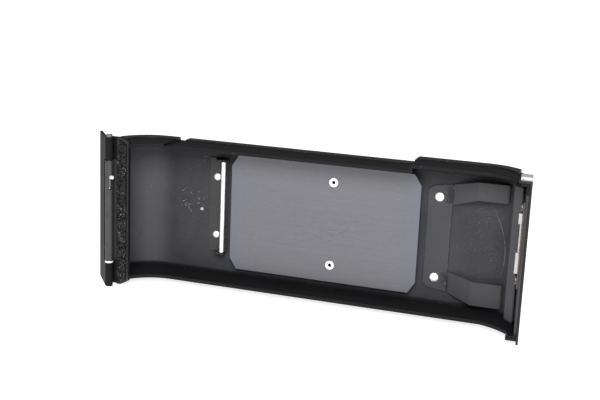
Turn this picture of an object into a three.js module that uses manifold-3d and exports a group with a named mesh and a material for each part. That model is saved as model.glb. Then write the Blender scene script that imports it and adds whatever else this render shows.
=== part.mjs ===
// The hinged film back of a 35 mm reflex camera, stored standing open on its camera-side hinge bracket.
// Units are millimetres and +Z is up. The hinge axis is vertical. The door runs along +X from the hinge
// to the latch, and the inside of its tray faces -Y.

import * as THREE from "three";
import { mergeVertices } from "three/addons/utils/BufferGeometryUtils.js";
import Module from "manifold-3d";

const wasm = await Module();
wasm.setup();

// ---- Driving dimensions -------------------------------------------------------------------------

// Fits
const SEAT_GAP = 0.05; // between two pieces that rest on each other
const RUN_GAP = 0.1; // radial, between a pin and its bore
const SWING_GAP = 0.3; // between pieces that pass each other

// Door tray, measured from the hinge axis
const HINGE_TO_LATCH_END = 135.2;
const HINGE_TO_FLOOR = 20.4;
const HALF_HEIGHT = 23.25;
const CASING_WALL = 0.7;
const CASING_LIP = 3.9; // how far the casing's sides wrap forwards
const FRAME_WALL = 0.75;
const HINGE_END_RADIUS = 14.8;
const HINGE_END_CENTRE_X = 11.3;
const HINGE_END_ARC = 67.8; // degrees of arc before the wall turns straight
const LATCH_END_RADIUS = 15.5;
const LATCH_END_LEAN = 5.8; // degrees that the end wall leans outwards to its front edge

// Light-trap rims along the top and the bottom
const RIM_DEPTH = 11.6; // tray floor to the rim's front edge
const RIM_WALL = 0.8;
const RIM_PROUD = 0.4; // the free part of the rim stands out over the part inside the casing
const RIM_FLAT_FROM_X = 18;
const RIM_FLAT_TO_LATCH_END = 13.2;
const NOTCH_X = 17.0; // counter-reset notch in the top rim
const NOTCH_WIDTH = 3.4;
const NOTCH_DEPTH = 1.0;
// Points that shape the rim's free edge beyond its flat: across from the flat's end, and forwards
const RIM_LATCH_PULL = [4.8, 1.2];
const RIM_LATCH_TURN = [8.8, 5.2];
const RIM_HINGE_PULL = [7.5, 0.2];
const RIM_END_SETBACK = 3.2; // from the latch end, at the end wall's front

// Raised top at the cassette end
const RAISED_FROM_X = 96.6;
const RAISED_BY = 1.75;
const RAISED_ROUND = 1.2;

// Hinge-side ledge that carries the hinge leaf and the foam seal
const LEDGE_FRONT_Y = 2.5;
const LEDGE_WALL = 1.4;
const LEDGE_FROM_X = -0.9;
const LEDGE_TO_X = 5.7;
const LEDGE_OVERHANG = 1.55; // above and below the rims
const LEDGE_CUT_X = 2.6; // corner cuts of the ledge, its leaf and its seal
const LEDGE_CUT_Z = 1.3;
const SEAL_THICKNESS = 1.2;
const SEAL_SETBACK = 0.4; // from the ledge's top and bottom

// Latch end
const END_WALL_FRONT_Y = -0.5;
const END_WALL_OVERHANG = 1.05; // above and below the casing's sides
const END_CAP_WIDTH = 3.4; // block on top of the end wall
const END_CAP_DEPTH = 5.0;
const END_CAP_HEIGHT = 1.3;
const TOP_CUT_FROM_LATCH_END = 5.4; // where the casing's raised top is cut down beside the end cap
const TOP_CUT_DEPTH = 0.95;
const RIDGE_WIDTH = 3.0;
const RIDGE_SLOT = 1.8; // from the ridge to the end wall's inner face, at its front edge
const RIDGE_NOSE = 0.4;
const RIDGE_LOW_FRONT = 8.2; // height of the ridge over the tray floor, cassette side
const RIDGE_HIGH_FRONT = 11.2; // and on its latch side
const CATCH_CENTRE_Z = 5.4;
const CATCH_PLATE_LENGTH = 26;
const CATCH_PLATE_WIDTH = 5;
const CATCH_PLATE_WALL = 0.5;
const CATCH_FRONT_Y = 1.0;
const CATCH_LUG_REACH = 1.05;
const CATCH_LUG_WIDTH = 3.4;
const CATCH_LUG_SETBACK = 0.6; // from the catch plate's front edge
const CATCH_UPPER_LUG = [11.9, 15.0];
const CATCH_LOWER_LUG = [-3.1, 3.2];
const CATCH_BAR_WIDTH = 0.8; // wire between the lugs
const CATCH_SCREW_SPACING = 22;
const CATCH_SCREW_RADIUS = 0.85;
const CATCH_SCREW_HEAD_RADIUS = 1.45;
const CATCH_SCREW_HEAD_HEIGHT = 0.5;

// Hinge
const OPEN_ANGLE = 143; // degrees from closed to the stored position
const BARREL_RADIUS = 1.22;
const BORE_RADIUS = 0.75;
const BARREL_TOP_Z = 25.1;
const UPPER_JOINT_Z = 17.4;
const LOWER_JOINT_Z = -16.4;
const WASHER_THICKNESS = 0.55;
const WASHER_RADIUS = 1.35;
const LEAF_WALL = 0.6;
const LEAF_VISIBLE_TO_X = 2.04;
const LEAF_WEB_HALF = 0.45; // half the thickness of the web that joins leaf and barrel
const LEAF_RIVET_RADIUS = 0.8;
const LEAF_RIVET_SPACING = 12;
const PIN_TRAVEL = 3.5;
const PIN_TIP_Z = 20.6;
const PIN_LENGTH = 12.1;
const STUD_Z = 12;
const STUD_RADIUS = 0.6;
const STUD_REACH = 1.95; // from the hinge axis
const STUD_ANGLE = -30; // degrees about the hinge axis, from +X
const SPRING_WIRE = 0.2;
const SPRING_LENGTH = 10.4;
const SPRING_TURNS = 12;
const LOWER_PIN_END_Z = -22.5;
const BRACKET_WALL = 0.8;
const BRACKET_PROUD = 0.03; // of the seat over the barrels
const BRACKET_REACH = 12;
const BRACKET_SCREW_Y = 8;
const BRACKET_SCREW_SPACING = 24;
const BRACKET_SCREW_HEAD = 1.6;
const BRACKET_SCREW_HEAD_HEIGHT = 0.8;
const BRACKET_SCREW_SHANK = 0.8;
const SCREW_SLOT_HALF = 0.2;
const CAP_RADIUS = 1.02;
const CAP_HEIGHT = 0.75;
const CAP_STEM_LENGTH = 3.8;

// Pressure plate
const PLATE_LENGTH = 63.7;
const PLATE_HEIGHT = 38.8;
const PLATE_FROM_X = 35.9;
const PLATE_CENTRE_Z = 0.6;
const PLATE_WALL = 1.0;
const PLATE_OVER_FLOOR = 3.06; // front face over the tray floor
const PLATE_CUT_X = 2.3; // corner cuts
const PLATE_CUT_Z = 3.6;
const PLATE_TRAVEL = 1.3; // towards the floor
const STUD_SPACING = 27.6;
const STUD_OFFSET_X = 35.1; // from the plate's hinge-side edge
const STUD_HEAD_RADIUS = 1.5;
const STUD_HEAD_HEIGHT = 0.3;
const STUD_HOLE_RADIUS = 0.5;
const STUD_SHANK_RADIUS = 1.0;
const STUD_TAIL = 0.4;
const PLATE_SPRING_WIDTH = 8;
const PLATE_SPRING_WALL = 0.25;
const PLATE_SPRING_RIVETS = 8; // spacing
const PLATE_SPRING_RIVET_HEAD = 1.1;
const PLATE_SPRING_RIVET_HEIGHT = 0.3;

// Film roller and its bracket
const ROLLER_BRACKET_FROM_X = 27.1;
const ROLLER_BRACKET_WIDTH = 6.7;
const ROLLER_BRACKET_HEIGHT = 32.2;
const ROLLER_CENTRE_Z = 1.7;
const ROLLER_BRACKET_WALL = 0.4;
const ROLLER_EAR_HEIGHT = 3.7;
const ROLLER_EAR_WIDTH = 3.4;
const ROLLER_EAR_FOOT = 1.6; // how far the ear's foot runs out
const ROLLER_EAR_ROUND = 0.8;
const ROLLER_RADIUS = 0.95;
const ROLLER_AXLE_RADIUS = 0.45;
const ROLLER_OVER_FLOOR = 2.7;
const ROLLER_END_GAP = 0.2;
const ROLLER_RIVET_SPACING = 19.9;
const ROLLER_RIVET_CENTRE_Z = 1.5;
const ROLLER_RIVET_OFFSET_X = 2.8; // from the bracket's hinge-side edge
const ROLLER_RIVET_HEAD = 1.2;
const ROLLER_RIVET_HEIGHT = 0.6;

// Cassette spring
const SPRING_WEB_FROM_X = 101.5;
const SPRING_WEB_WIDTH = 7.7;
const SPRING_SHEET = 0.4;
const SPRING_TIP_X = 127.1;
const SPRING_HALF_HEIGHT = 16.6;
const SPRING_TIP_HALF_HEIGHT = 19.7;
const SPRING_ROOT_INNER = 10.8; // half of the gap between the fingers, at the root
const SPRING_UPPER_WIDTH = 5.7;
const SPRING_LOWER_WIDTH = 7.6;
const SPRING_CREST_X = 117.6;
const SPRING_RISE = 3.5;
const SPRING_RIVET_SPACING = 26.3;
const SPRING_RIVET_OFFSET_X = 3.6; // from the web's hinge-side edge
const SPRING_RIVET_HEAD = 1.45;
const SPRING_RIVET_HEIGHT = 0.7;
const SPRING_WEB_CUT = 1.5; // corner cuts
const SPRING_ROOT_SPREAD = 0.9; // how much taller the fingers' roots are than the web
const RIVET_SHANK = 0.7;

// Outside trim
const COVER_THICKNESS = 0.5;
const COVER_MARGIN = 1.8;
const COVER_ARC = 42; // degrees of each end arc that the leatherette wraps
const MEMO_CENTRE_X = 66;
const MEMO_LENGTH = 46;
const MEMO_HEIGHT = 34;
const MEMO_WALL = 0.5;
const MEMO_HEIGHT_OVER_COVER = 1.3;
const MEMO_RAIL = 2.2;

// ---- Derived places -----------------------------------------------------------------------------

const SKIN = CASING_WALL + SEAT_GAP + FRAME_WALL;
const BACK_Y = HINGE_TO_FLOOR + SKIN;
const FRAME_OFFSET = CASING_WALL + SEAT_GAP;
const RIM_FRONT_Y = HINGE_TO_FLOOR - RIM_DEPTH;
const RIM_FLAT_TO_X = HINGE_TO_LATCH_END - RIM_FLAT_TO_LATCH_END;
const RIM_OUTER_Z = HALF_HEIGHT - FRAME_OFFSET;
const RIM_INNER_Z = RIM_OUTER_Z - RIM_WALL;
const END_WALL_INNER_X = HINGE_TO_LATCH_END - SKIN; // at the end wall's front edge
const END_WALL_TOP_Z = HALF_HEIGHT + RAISED_BY;
const PIN_RADIUS = BORE_RADIUS - RUN_GAP;
const LEAF_FRONT_Y = LEDGE_FRONT_Y - SEAT_GAP - LEAF_WALL;
const LEDGE_HALF_HEIGHT = HALF_HEIGHT + LEDGE_OVERHANG;
const PLATE_FRONT_Y = HINGE_TO_FLOOR - PLATE_OVER_FLOOR;
const PLATE_BACK_Y = PLATE_FRONT_Y + PLATE_WALL;
const PLATE_SPRING_RISE = PLATE_OVER_FLOOR - PLATE_WALL - PLATE_TRAVEL - PLATE_SPRING_WALL - SWING_GAP;
const STUD_X = PLATE_FROM_X + STUD_OFFSET_X;
const ROLLER_X = ROLLER_BRACKET_FROM_X + ROLLER_BRACKET_WIDTH - ROLLER_RADIUS;
const ROLLER_Y = HINGE_TO_FLOOR - ROLLER_OVER_FLOOR;
const SPRING_BEND_X = SPRING_WEB_FROM_X + SPRING_WEB_WIDTH;
const CATCH_X = END_WALL_INNER_X - SEAT_GAP - CATCH_PLATE_WALL;
const SPRING_BASE_Z = PIN_TIP_Z - PIN_LENGTH - SEAT_GAP - SPRING_LENGTH;

const STEP_ROUND = Math.min(RAISED_ROUND, RAISED_BY);

const COLUMN_HALF = 60; // upright columns are drawn taller than anything cut from them
const ARC_STEPS = 20;
const BORE_SIDES = 24;
const HEAD_SIDES = 24;

// ---- Materials ----------------------------------------------------------------------------------

const paint = (color, roughness, metalness) =>
  new THREE.MeshStandardMaterial({ color, roughness, metalness });
const GLOSS_BLACK = () => paint(0x17171a, 0.4, 0.1);
const MATT_BLACK = () => paint(0x232326, 0.75, 0);
const DARK_SPRING = () => paint(0x4c4c50, 0.5, 0.5);
const PLATE_GREY = () => paint(0x77777f, 0.4, 0.3);
const BRIGHT_STEEL = () => paint(0xd8d8da, 0.25, 1);
const BLACK_STEEL = () => paint(0x2b2b2e, 0.5, 0.6);
const FOAM = () => paint(0x161617, 0.95, 0);
const LEATHERETTE = () => paint(0x1a1a1b, 0.8, 0);

// ---- Solid helpers ------------------------------------------------------------------------------

function toSolid(geometry) {
  const plain = geometry.clone();
  plain.deleteAttribute("normal");
  plain.deleteAttribute("uv");
  const merged = mergeVertices(plain, 1e-5);
  return new wasm.Manifold(
    new wasm.Mesh({
      numProp: 3,
      vertProperties: new Float32Array(merged.attributes.position.array),
      triVerts: new Uint32Array(merged.index.array),
    }),
  );
}

function toGeometry(solid) {
  const { vertProperties, triVerts, numProp } = solid.getMesh();
  const positions = new Float32Array((vertProperties.length / numProp) * 3);
  for (let i = 0; i < positions.length / 3; i += 1) {
    for (let axis = 0; axis < 3; axis += 1) {
      positions[3 * i + axis] = vertProperties[numProp * i + axis];
    }
  }
  const geometry = new THREE.BufferGeometry();
  geometry.setAttribute("position", new THREE.BufferAttribute(positions, 3));
  geometry.setIndex(new THREE.BufferAttribute(new Uint32Array(triVerts), 1));
  geometry.computeVertexNormals();
  return geometry;
}

function piece(name, solid, material) {
  const mesh = new THREE.Mesh(toGeometry(solid), material);
  mesh.name = name;
  return mesh;
}

function block([x0, x1], [y0, y1], [z0, z1]) {
  const geometry = new THREE.BoxGeometry(x1 - x0, y1 - y0, z1 - z0);
  geometry.translate((x0 + x1) / 2, (y0 + y1) / 2, (z0 + z1) / 2);
  return toSolid(geometry);
}

// An outline in plan, given as [x, y] points, raised from z0 to z1.
function prism(points, z0, z1) {
  const shape = new THREE.Shape(points.map(([x, y]) => new THREE.Vector2(x, y)));
  const geometry = new THREE.ExtrudeGeometry(shape, { depth: z1 - z0, bevelEnabled: false });
  geometry.translate(0, 0, z0);
  return toSolid(geometry);
}

// An outline in front view, given as [x, z] points, running from y0 back to y1.
function panel(points, y0, y1) {
  const shape = new THREE.Shape(points.map(([x, z]) => new THREE.Vector2(x, z)));
  const geometry = new THREE.ExtrudeGeometry(shape, { depth: y1 - y0, bevelEnabled: false });
  geometry.rotateX(Math.PI / 2);
  geometry.translate(0, y1, 0);
  return toSolid(geometry);
}

function rodZ(radius, x, y, z0, z1, sides = BORE_SIDES) {
  const geometry = new THREE.CylinderGeometry(radius, radius, z1 - z0, sides);
  geometry.rotateX(Math.PI / 2);
  geometry.translate(x, y, (z0 + z1) / 2);
  return toSolid(geometry);
}

function rodY(radius, x, z, y0, y1, sides = HEAD_SIDES) {
  const geometry = new THREE.CylinderGeometry(radius, radius, y1 - y0, sides);
  geometry.translate(x, (y0 + y1) / 2, z);
  return toSolid(geometry);
}

function rodX(radius, y, z, x0, x1, sides = HEAD_SIDES) {
  const geometry = new THREE.CylinderGeometry(radius, radius, x1 - x0, sides);
  geometry.rotateZ(Math.PI / 2);
  geometry.translate((x0 + x1) / 2, y, z);
  return toSolid(geometry);
}

// A domed rivet whose head stands on seatY and faces -Y. Its shank runs back by shankLength.
function rivet(x, z, seatY, headRadius, headHeight, shankRadius, shankLength) {
  const rimHeight = headHeight * 0.35;
  const profile = [
    new THREE.Vector2(0, -shankLength),
    new THREE.Vector2(shankRadius, -shankLength),
    new THREE.Vector2(shankRadius, 0),
    new THREE.Vector2(headRadius, 0),
    new THREE.Vector2(headRadius, rimHeight),
  ];
  for (let step = 1; step <= 5; step += 1) {
    const angle = (step / 5) * (Math.PI / 2);
    const radius = step === 5 ? 0 : headRadius * Math.cos(angle);
    profile.push(new THREE.Vector2(radius, rimHeight + (headHeight - rimHeight) * Math.sin(angle)));
  }
  const geometry = new THREE.LatheGeometry(profile, HEAD_SIDES);
  geometry.rotateX(Math.PI);
  geometry.translate(x, seatY, z);
  return toSolid(geometry);
}

const radians = (degrees) => (degrees * Math.PI) / 180;

function onCircle(centre, radius, degrees) {
  const angle = radians(degrees);
  return [centre[0] + radius * Math.cos(angle), centre[1] + radius * Math.sin(angle)];
}

function arcPoints(centre, radius, fromDegrees, toDegrees, steps = ARC_STEPS) {
  return Array.from({ length: steps + 1 }, (_, step) =>
    onCircle(centre, radius, fromDegrees + ((toDegrees - fromDegrees) * step) / steps));
}

function curvePoints(start, control, end, steps = 10) {
  const curve = new THREE.QuadraticBezierCurve(
    new THREE.Vector2(...start),
    new THREE.Vector2(...control),
    new THREE.Vector2(...end),
  );
  return curve.getPoints(steps).map((point) => [point.x, point.y]);
}

const union = (solids) => solids.reduce((whole, next) => whole.add(next));

// ---- Plan outlines of the tray ------------------------------------------------------------------

const HINGE_END_CENTRE = [HINGE_END_CENTRE_X, BACK_Y - HINGE_END_RADIUS];
const LATCH_END_SLOPE = Math.tan(radians(LATCH_END_LEAN));
const LATCH_CENTRE_Y = BACK_Y - LATCH_END_RADIUS;
const [LATCH_TURN_X, LATCH_TURN_Y] = onCircle([0, LATCH_CENTRE_Y], LATCH_END_RADIUS, LATCH_END_LEAN);
const LATCH_END_CENTRE = [
  HINGE_TO_LATCH_END - LATCH_TURN_X - (LATCH_TURN_Y - END_WALL_FRONT_Y) * LATCH_END_SLOPE,
  LATCH_CENTRE_Y,
];

// The tray's back, set in by offset: hinge-side wall, arc, flat, arc and end wall, up to endY.
function backPath(offset, wallTopY, endY) {
  const hingeEndAngle = 90 + HINGE_END_ARC;
  const [outerEndX, outerEndY] = onCircle(HINGE_END_CENTRE, HINGE_END_RADIUS, hingeEndAngle);
  const [arcEndX, arcEndY] = onCircle(HINGE_END_CENTRE, HINGE_END_RADIUS - offset, hingeEndAngle);
  const lean = (LEDGE_FROM_X - outerEndX) / (LEDGE_FRONT_Y - outerEndY);
  const wallTop = [arcEndX + lean * (wallTopY - arcEndY), wallTopY];
  const [turnX, turnY] = onCircle(LATCH_END_CENTRE, LATCH_END_RADIUS - offset, LATCH_END_LEAN);
  return [
    wallTop,
    ...arcPoints(HINGE_END_CENTRE, HINGE_END_RADIUS - offset, hingeEndAngle, 90),
    ...arcPoints(LATCH_END_CENTRE, LATCH_END_RADIUS - offset, 90, LATCH_END_LEAN),
    [turnX + (turnY - endY) * LATCH_END_SLOPE, endY],
  ];
}

const column = (points) => prism(points, -COLUMN_HALF, COLUMN_HALF);

// Upright columns: a wall of the tray, all that lies inside the tray, and a rim's full outline.
const band = (offset, wall, wallTopY) =>
  column([
    ...backPath(offset, wallTopY, END_WALL_FRONT_Y),
    ...backPath(offset + wall, wallTopY, END_WALL_FRONT_Y).reverse(),
  ]);
const inside = (offset) =>
  column([...backPath(offset, LEDGE_FRONT_Y, END_WALL_FRONT_Y), [HINGE_TO_LATCH_END / 2, -20]]);

// The rim's free edge, from the latch end back to the ledge at the hinge end.
function rimFrontPath() {
  const beyondFlat = (fromX, [across, forwards]) => [fromX + across, RIM_FRONT_Y - forwards];
  const [hingeAcross, hingeForwards] = RIM_HINGE_PULL;
  return [
    [HINGE_TO_LATCH_END - RIM_END_SETBACK, END_WALL_FRONT_Y],
    ...curvePoints(
      beyondFlat(RIM_FLAT_TO_X, RIM_LATCH_TURN),
      beyondFlat(RIM_FLAT_TO_X, RIM_LATCH_PULL),
      [RIM_FLAT_TO_X, RIM_FRONT_Y],
    ),
    ...curvePoints(
      [RIM_FLAT_FROM_X, RIM_FRONT_Y],
      beyondFlat(RIM_FLAT_FROM_X, [-hingeAcross, hingeForwards]),
      [LEDGE_TO_X, LEDGE_FRONT_Y],
    ),
  ];
}

const rimColumn = () =>
  column([...backPath(FRAME_OFFSET, LEDGE_FRONT_Y, END_WALL_FRONT_Y), ...rimFrontPath()]);

// Everything on the latch side of x.
const beyond = (x) =>
  block([x, HINGE_TO_LATCH_END + 5], [-10, BACK_Y + 5], [-COLUMN_HALF, COLUMN_HALF]);

// A wall that follows the top's step, whose outside is set in by inset from the casing's.
function topStep(inset, wall) {
  const outerZ = HALF_HEIGHT - inset;
  const innerZ = outerZ - wall;
  const x = RAISED_FROM_X + inset;
  return panel(
    [
      [x - SEAT_GAP, outerZ],
      [x, outerZ],
      ...arcPoints([x + STEP_ROUND, outerZ + RAISED_BY - STEP_ROUND], STEP_ROUND, 180, 90, 6),
      [x + STEP_ROUND + wall, outerZ + RAISED_BY],
      [x + STEP_ROUND + wall, innerZ + RAISED_BY],
      [x + wall, innerZ + RAISED_BY],
      [x + wall, innerZ],
      [x - SEAT_GAP, innerZ],
    ],
    -10,
    BACK_Y + 5,
  );
}

// The part of an upright column between two heights.
const slab = (upright, z0, z1) =>
  upright.intersect(block([-20, HINGE_TO_LATCH_END + 5], [-30, BACK_Y + 5], [z0, z1]));

// Turns a solid drawn against an upright end wall so that it lies on the leaning one.
const leaning = (solid) =>
  solid
    .translate([-END_WALL_INNER_X, -END_WALL_FRONT_Y, 0])
    .rotate([0, 0, LATCH_END_LEAN])
    .translate([END_WALL_INNER_X, END_WALL_FRONT_Y, 0]);

// The front view of the ledge from x on, with its free corners cut.
const ledgeOutline = (x, half) => [
  [x, -half],
  [LEDGE_TO_X - LEDGE_CUT_X, -half],
  [LEDGE_TO_X, -half + LEDGE_CUT_Z],
  [LEDGE_TO_X, half - LEDGE_CUT_Z],
  [LEDGE_TO_X - LEDGE_CUT_X, half],
  [x, half],
];

// A plate along the top that steps up at the cassette end, cut from an upright column.
function steppedTop(upright, inset, wall) {
  const outerZ = HALF_HEIGHT - inset;
  const stepX = RAISED_FROM_X + inset;
  const low = slab(upright, outerZ - wall, outerZ).subtract(beyond(stepX));
  const high = slab(upright, outerZ + RAISED_BY - wall, outerZ + RAISED_BY)
    .intersect(beyond(stepX + STEP_ROUND));
  return union([low, high, upright.intersect(topStep(inset, wall))]);
}

// A back wall of the tray that grows taller at the cassette end.
function steppedBand(upright, inset) {
  const half = HALF_HEIGHT - inset;
  const high = slab(upright, 0, half + RAISED_BY).intersect(beyond(RAISED_FROM_X + inset + STEP_ROUND));
  return union([slab(upright, -half, half), high, upright.intersect(topStep(inset, half))]);
}

// ---- Places of the fasteners --------------------------------------------------------------------

const pairZ = (centre, spacing) => [
  { label: "upper", z: centre + spacing / 2 },
  { label: "lower", z: centre - spacing / 2 },
];
const ROLLER_RIVET_X = ROLLER_BRACKET_FROM_X + ROLLER_RIVET_OFFSET_X;
const CASSETTE_RIVET_X = SPRING_WEB_FROM_X + SPRING_RIVET_OFFSET_X;
const LEAF_RIVET_X = (LEAF_VISIBLE_TO_X + LEDGE_TO_X) / 2;
const rollerRivets = pairZ(ROLLER_RIVET_CENTRE_Z, ROLLER_RIVET_SPACING);
const cassetteRivets = pairZ(0, SPRING_RIVET_SPACING);
const plateSpringRivets = pairZ(PLATE_CENTRE_Z, PLATE_SPRING_RIVETS);
const floorRivets = [
  ...rollerRivets.map((place) => ({ ...place, x: ROLLER_RIVET_X })),
  ...cassetteRivets.map((place) => ({ ...place, x: CASSETTE_RIVET_X })),
  ...plateSpringRivets.map((place) => ({ ...place, x: STUD_X })),
];
const leafRivets = [-1, 0, 1].map((step) => ({ x: LEAF_RIVET_X, z: step * LEAF_RIVET_SPACING }));
const catchScrews = pairZ(CATCH_CENTRE_Z, CATCH_SCREW_SPACING);
const catchScrewY = CATCH_FRONT_Y + CATCH_PLATE_WIDTH / 2;
const catchScrewHoles = () =>
  leaning(
    union(catchScrews.map(({ z }) =>
      rodX(CATCH_SCREW_RADIUS + RUN_GAP, catchScrewY, z, CATCH_X - 1, HINGE_TO_LATCH_END + 1))),
  );

// ---- Door shells --------------------------------------------------------------------------------

// The latch end, from the end wall's front edge back to y.
const endWallDepth = (y) =>
  block([LATCH_END_CENTRE[0], HINGE_TO_LATCH_END + 5], [END_WALL_FRONT_Y, y], [-COLUMN_HALF, COLUMN_HALF]);

function outerCasing() {
  const casingTop = LEDGE_FRONT_Y + LEDGE_WALL + SEAT_GAP;
  const back = steppedBand(band(0, CASING_WALL, casingTop), 0);
  const lip = band(0, CASING_LIP, casingTop);
  const bottomLip = slab(lip, -HALF_HEIGHT, -HALF_HEIGHT + CASING_WALL);
  const topLip = steppedTop(lip, 0, CASING_WALL);
  const capTopZ = END_WALL_TOP_Z + END_CAP_HEIGHT;
  const endWall = slab(band(0, CASING_WALL, casingTop), -HALF_HEIGHT - END_WALL_OVERHANG, capTopZ)
    .intersect(endWallDepth(LATCH_CENTRE_Y));
  const endCap = slab(band(0, END_CAP_WIDTH, casingTop), END_WALL_TOP_Z - CASING_WALL, capTopZ)
    .intersect(endWallDepth(END_WALL_FRONT_Y + END_CAP_DEPTH));
  const topCut = block(
    [HINGE_TO_LATCH_END - TOP_CUT_FROM_LATCH_END, HINGE_TO_LATCH_END + 1],
    [END_WALL_FRONT_Y + END_CAP_DEPTH, BACK_Y + 1],
    [END_WALL_TOP_Z - TOP_CUT_DEPTH, capTopZ + 1],
  );
  const notch = block(
    [NOTCH_X - NOTCH_WIDTH / 2, NOTCH_X + NOTCH_WIDTH / 2],
    [0, BACK_Y + 1],
    [HALF_HEIGHT - NOTCH_DEPTH, HALF_HEIGHT + 1],
  );
  const solid = union([back, bottomLip, topLip, endWall]).subtract(topCut).add(endCap).subtract(notch);
  return piece("outer_casing", solid.subtract(catchScrewHoles()), GLOSS_BLACK());
}

// The ridge stands on the curved floor beside the end wall and closes the light trap there.
function latchRidge() {
  const slotX = END_WALL_INNER_X - RIDGE_SLOT;
  return prism(
    [
      [slotX - RIDGE_WIDTH, BACK_Y],
      [slotX - RIDGE_WIDTH, HINGE_TO_FLOOR - RIDGE_LOW_FRONT],
      [slotX - RIDGE_NOSE, HINGE_TO_FLOOR - RIDGE_HIGH_FRONT],
      [slotX, HINGE_TO_FLOOR - RIDGE_HIGH_FRONT + RIDGE_NOSE],
      [slotX, BACK_Y],
    ],
    -RIM_INNER_Z,
    RIM_INNER_Z + RAISED_BY,
  );
}

function lightTrapFrame() {
  const floorBand = steppedBand(band(FRAME_OFFSET, FRAME_WALL, LEDGE_FRONT_Y), FRAME_OFFSET);
  const rim = rimColumn();
  const proudRim = rim.intersect(inside(CASING_LIP + SEAT_GAP));
  const bottomRim = slab(rim, -RIM_OUTER_Z, -RIM_INNER_Z);
  const bottomProud = slab(proudRim, -RIM_OUTER_Z - RIM_PROUD, -RIM_INNER_Z);
  const topRim = steppedTop(rim, FRAME_OFFSET, RIM_WALL);
  const topProud = steppedTop(proudRim, FRAME_OFFSET - RIM_PROUD, RIM_WALL + RIM_PROUD);
  const ledgeBackY = LEDGE_FRONT_Y + LEDGE_WALL;
  const ledge = panel(ledgeOutline(LEDGE_FROM_X, LEDGE_HALF_HEIGHT), LEDGE_FRONT_Y, ledgeBackY);
  const notchFrom = NOTCH_X - NOTCH_WIDTH / 2 - SEAT_GAP;
  const notchTo = NOTCH_X + NOTCH_WIDTH / 2 + SEAT_GAP;
  const notchFloorZ = HALF_HEIGHT - NOTCH_DEPTH - SEAT_GAP;
  const notchCut = block([notchFrom, notchTo], [0, BACK_Y + 1], [notchFloorZ, HALF_HEIGHT + 1]);
  const notchBump = slab(rim, notchFloorZ - RIM_WALL, notchFloorZ)
    .intersect(beyond(notchFrom - RIM_WALL))
    .subtract(beyond(notchTo + RIM_WALL));
  let solid = union([floorBand, bottomRim, bottomProud, topRim, topProud, ledge, notchBump])
    .add(latchRidge().intersect(inside(FRAME_OFFSET)))
    .subtract(notchCut);
  for (const hole of floorRivets) {
    solid = solid.subtract(rodY(RIVET_SHANK + RUN_GAP, hole.x, hole.z, HINGE_TO_FLOOR - 1, BACK_Y));
  }
  for (const hole of leafRivets) {
    solid = solid.subtract(rodY(LEAF_RIVET_RADIUS + RUN_GAP, hole.x, hole.z, 0, ledgeBackY + 1));
  }
  return piece("light_trap_frame", solid.subtract(catchScrewHoles()), MATT_BLACK());
}

function leatherettePanel() {
  const offset = -SEAT_GAP;
  const outline = [
    ...arcPoints(HINGE_END_CENTRE, HINGE_END_RADIUS - offset, 90 + COVER_ARC, 90, 12),
    ...arcPoints(LATCH_END_CENTRE, LATCH_END_RADIUS - offset, 90, 90 - COVER_ARC, 12),
    ...arcPoints(LATCH_END_CENTRE, LATCH_END_RADIUS - offset + COVER_THICKNESS, 90 - COVER_ARC, 90, 12),
    ...arcPoints(HINGE_END_CENTRE, HINGE_END_RADIUS - offset + COVER_THICKNESS, 90, 90 + COVER_ARC, 12),
  ];
  const half = HALF_HEIGHT - COVER_MARGIN;
  return piece("leatherette_panel", prism(outline, -half, half), LEATHERETTE());
}

// A shallow U of folded rails that a film carton's end flap slides into from the latch side.
function memoHolder() {
  const y0 = BACK_Y + 2 * SEAT_GAP + COVER_THICKNESS;
  const y1 = y0 + MEMO_HEIGHT_OVER_COVER;
  const [x0, x1] = [MEMO_CENTRE_X - MEMO_LENGTH / 2, MEMO_CENTRE_X + MEMO_LENGTH / 2];
  const half = MEMO_HEIGHT / 2;
  const shell = block([x0, x1], [y0, y1], [-half, half]);
  const pocket = block(
    [x0 + MEMO_WALL, x1 + 1],
    [y0 + MEMO_WALL, y1 - MEMO_WALL],
    [-half + MEMO_WALL, half - MEMO_WALL],
  );
  const windowCut = block(
    [x0 + MEMO_RAIL, x1 + 1],
    [y1 - 2 * MEMO_WALL, y1 + 1],
    [-half + MEMO_RAIL, half - MEMO_RAIL],
  );
  return piece("memo_holder", shell.subtract(pocket).subtract(windowCut), GLOSS_BLACK());
}

// ---- Hinge --------------------------------------------------------------------------------------

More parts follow.
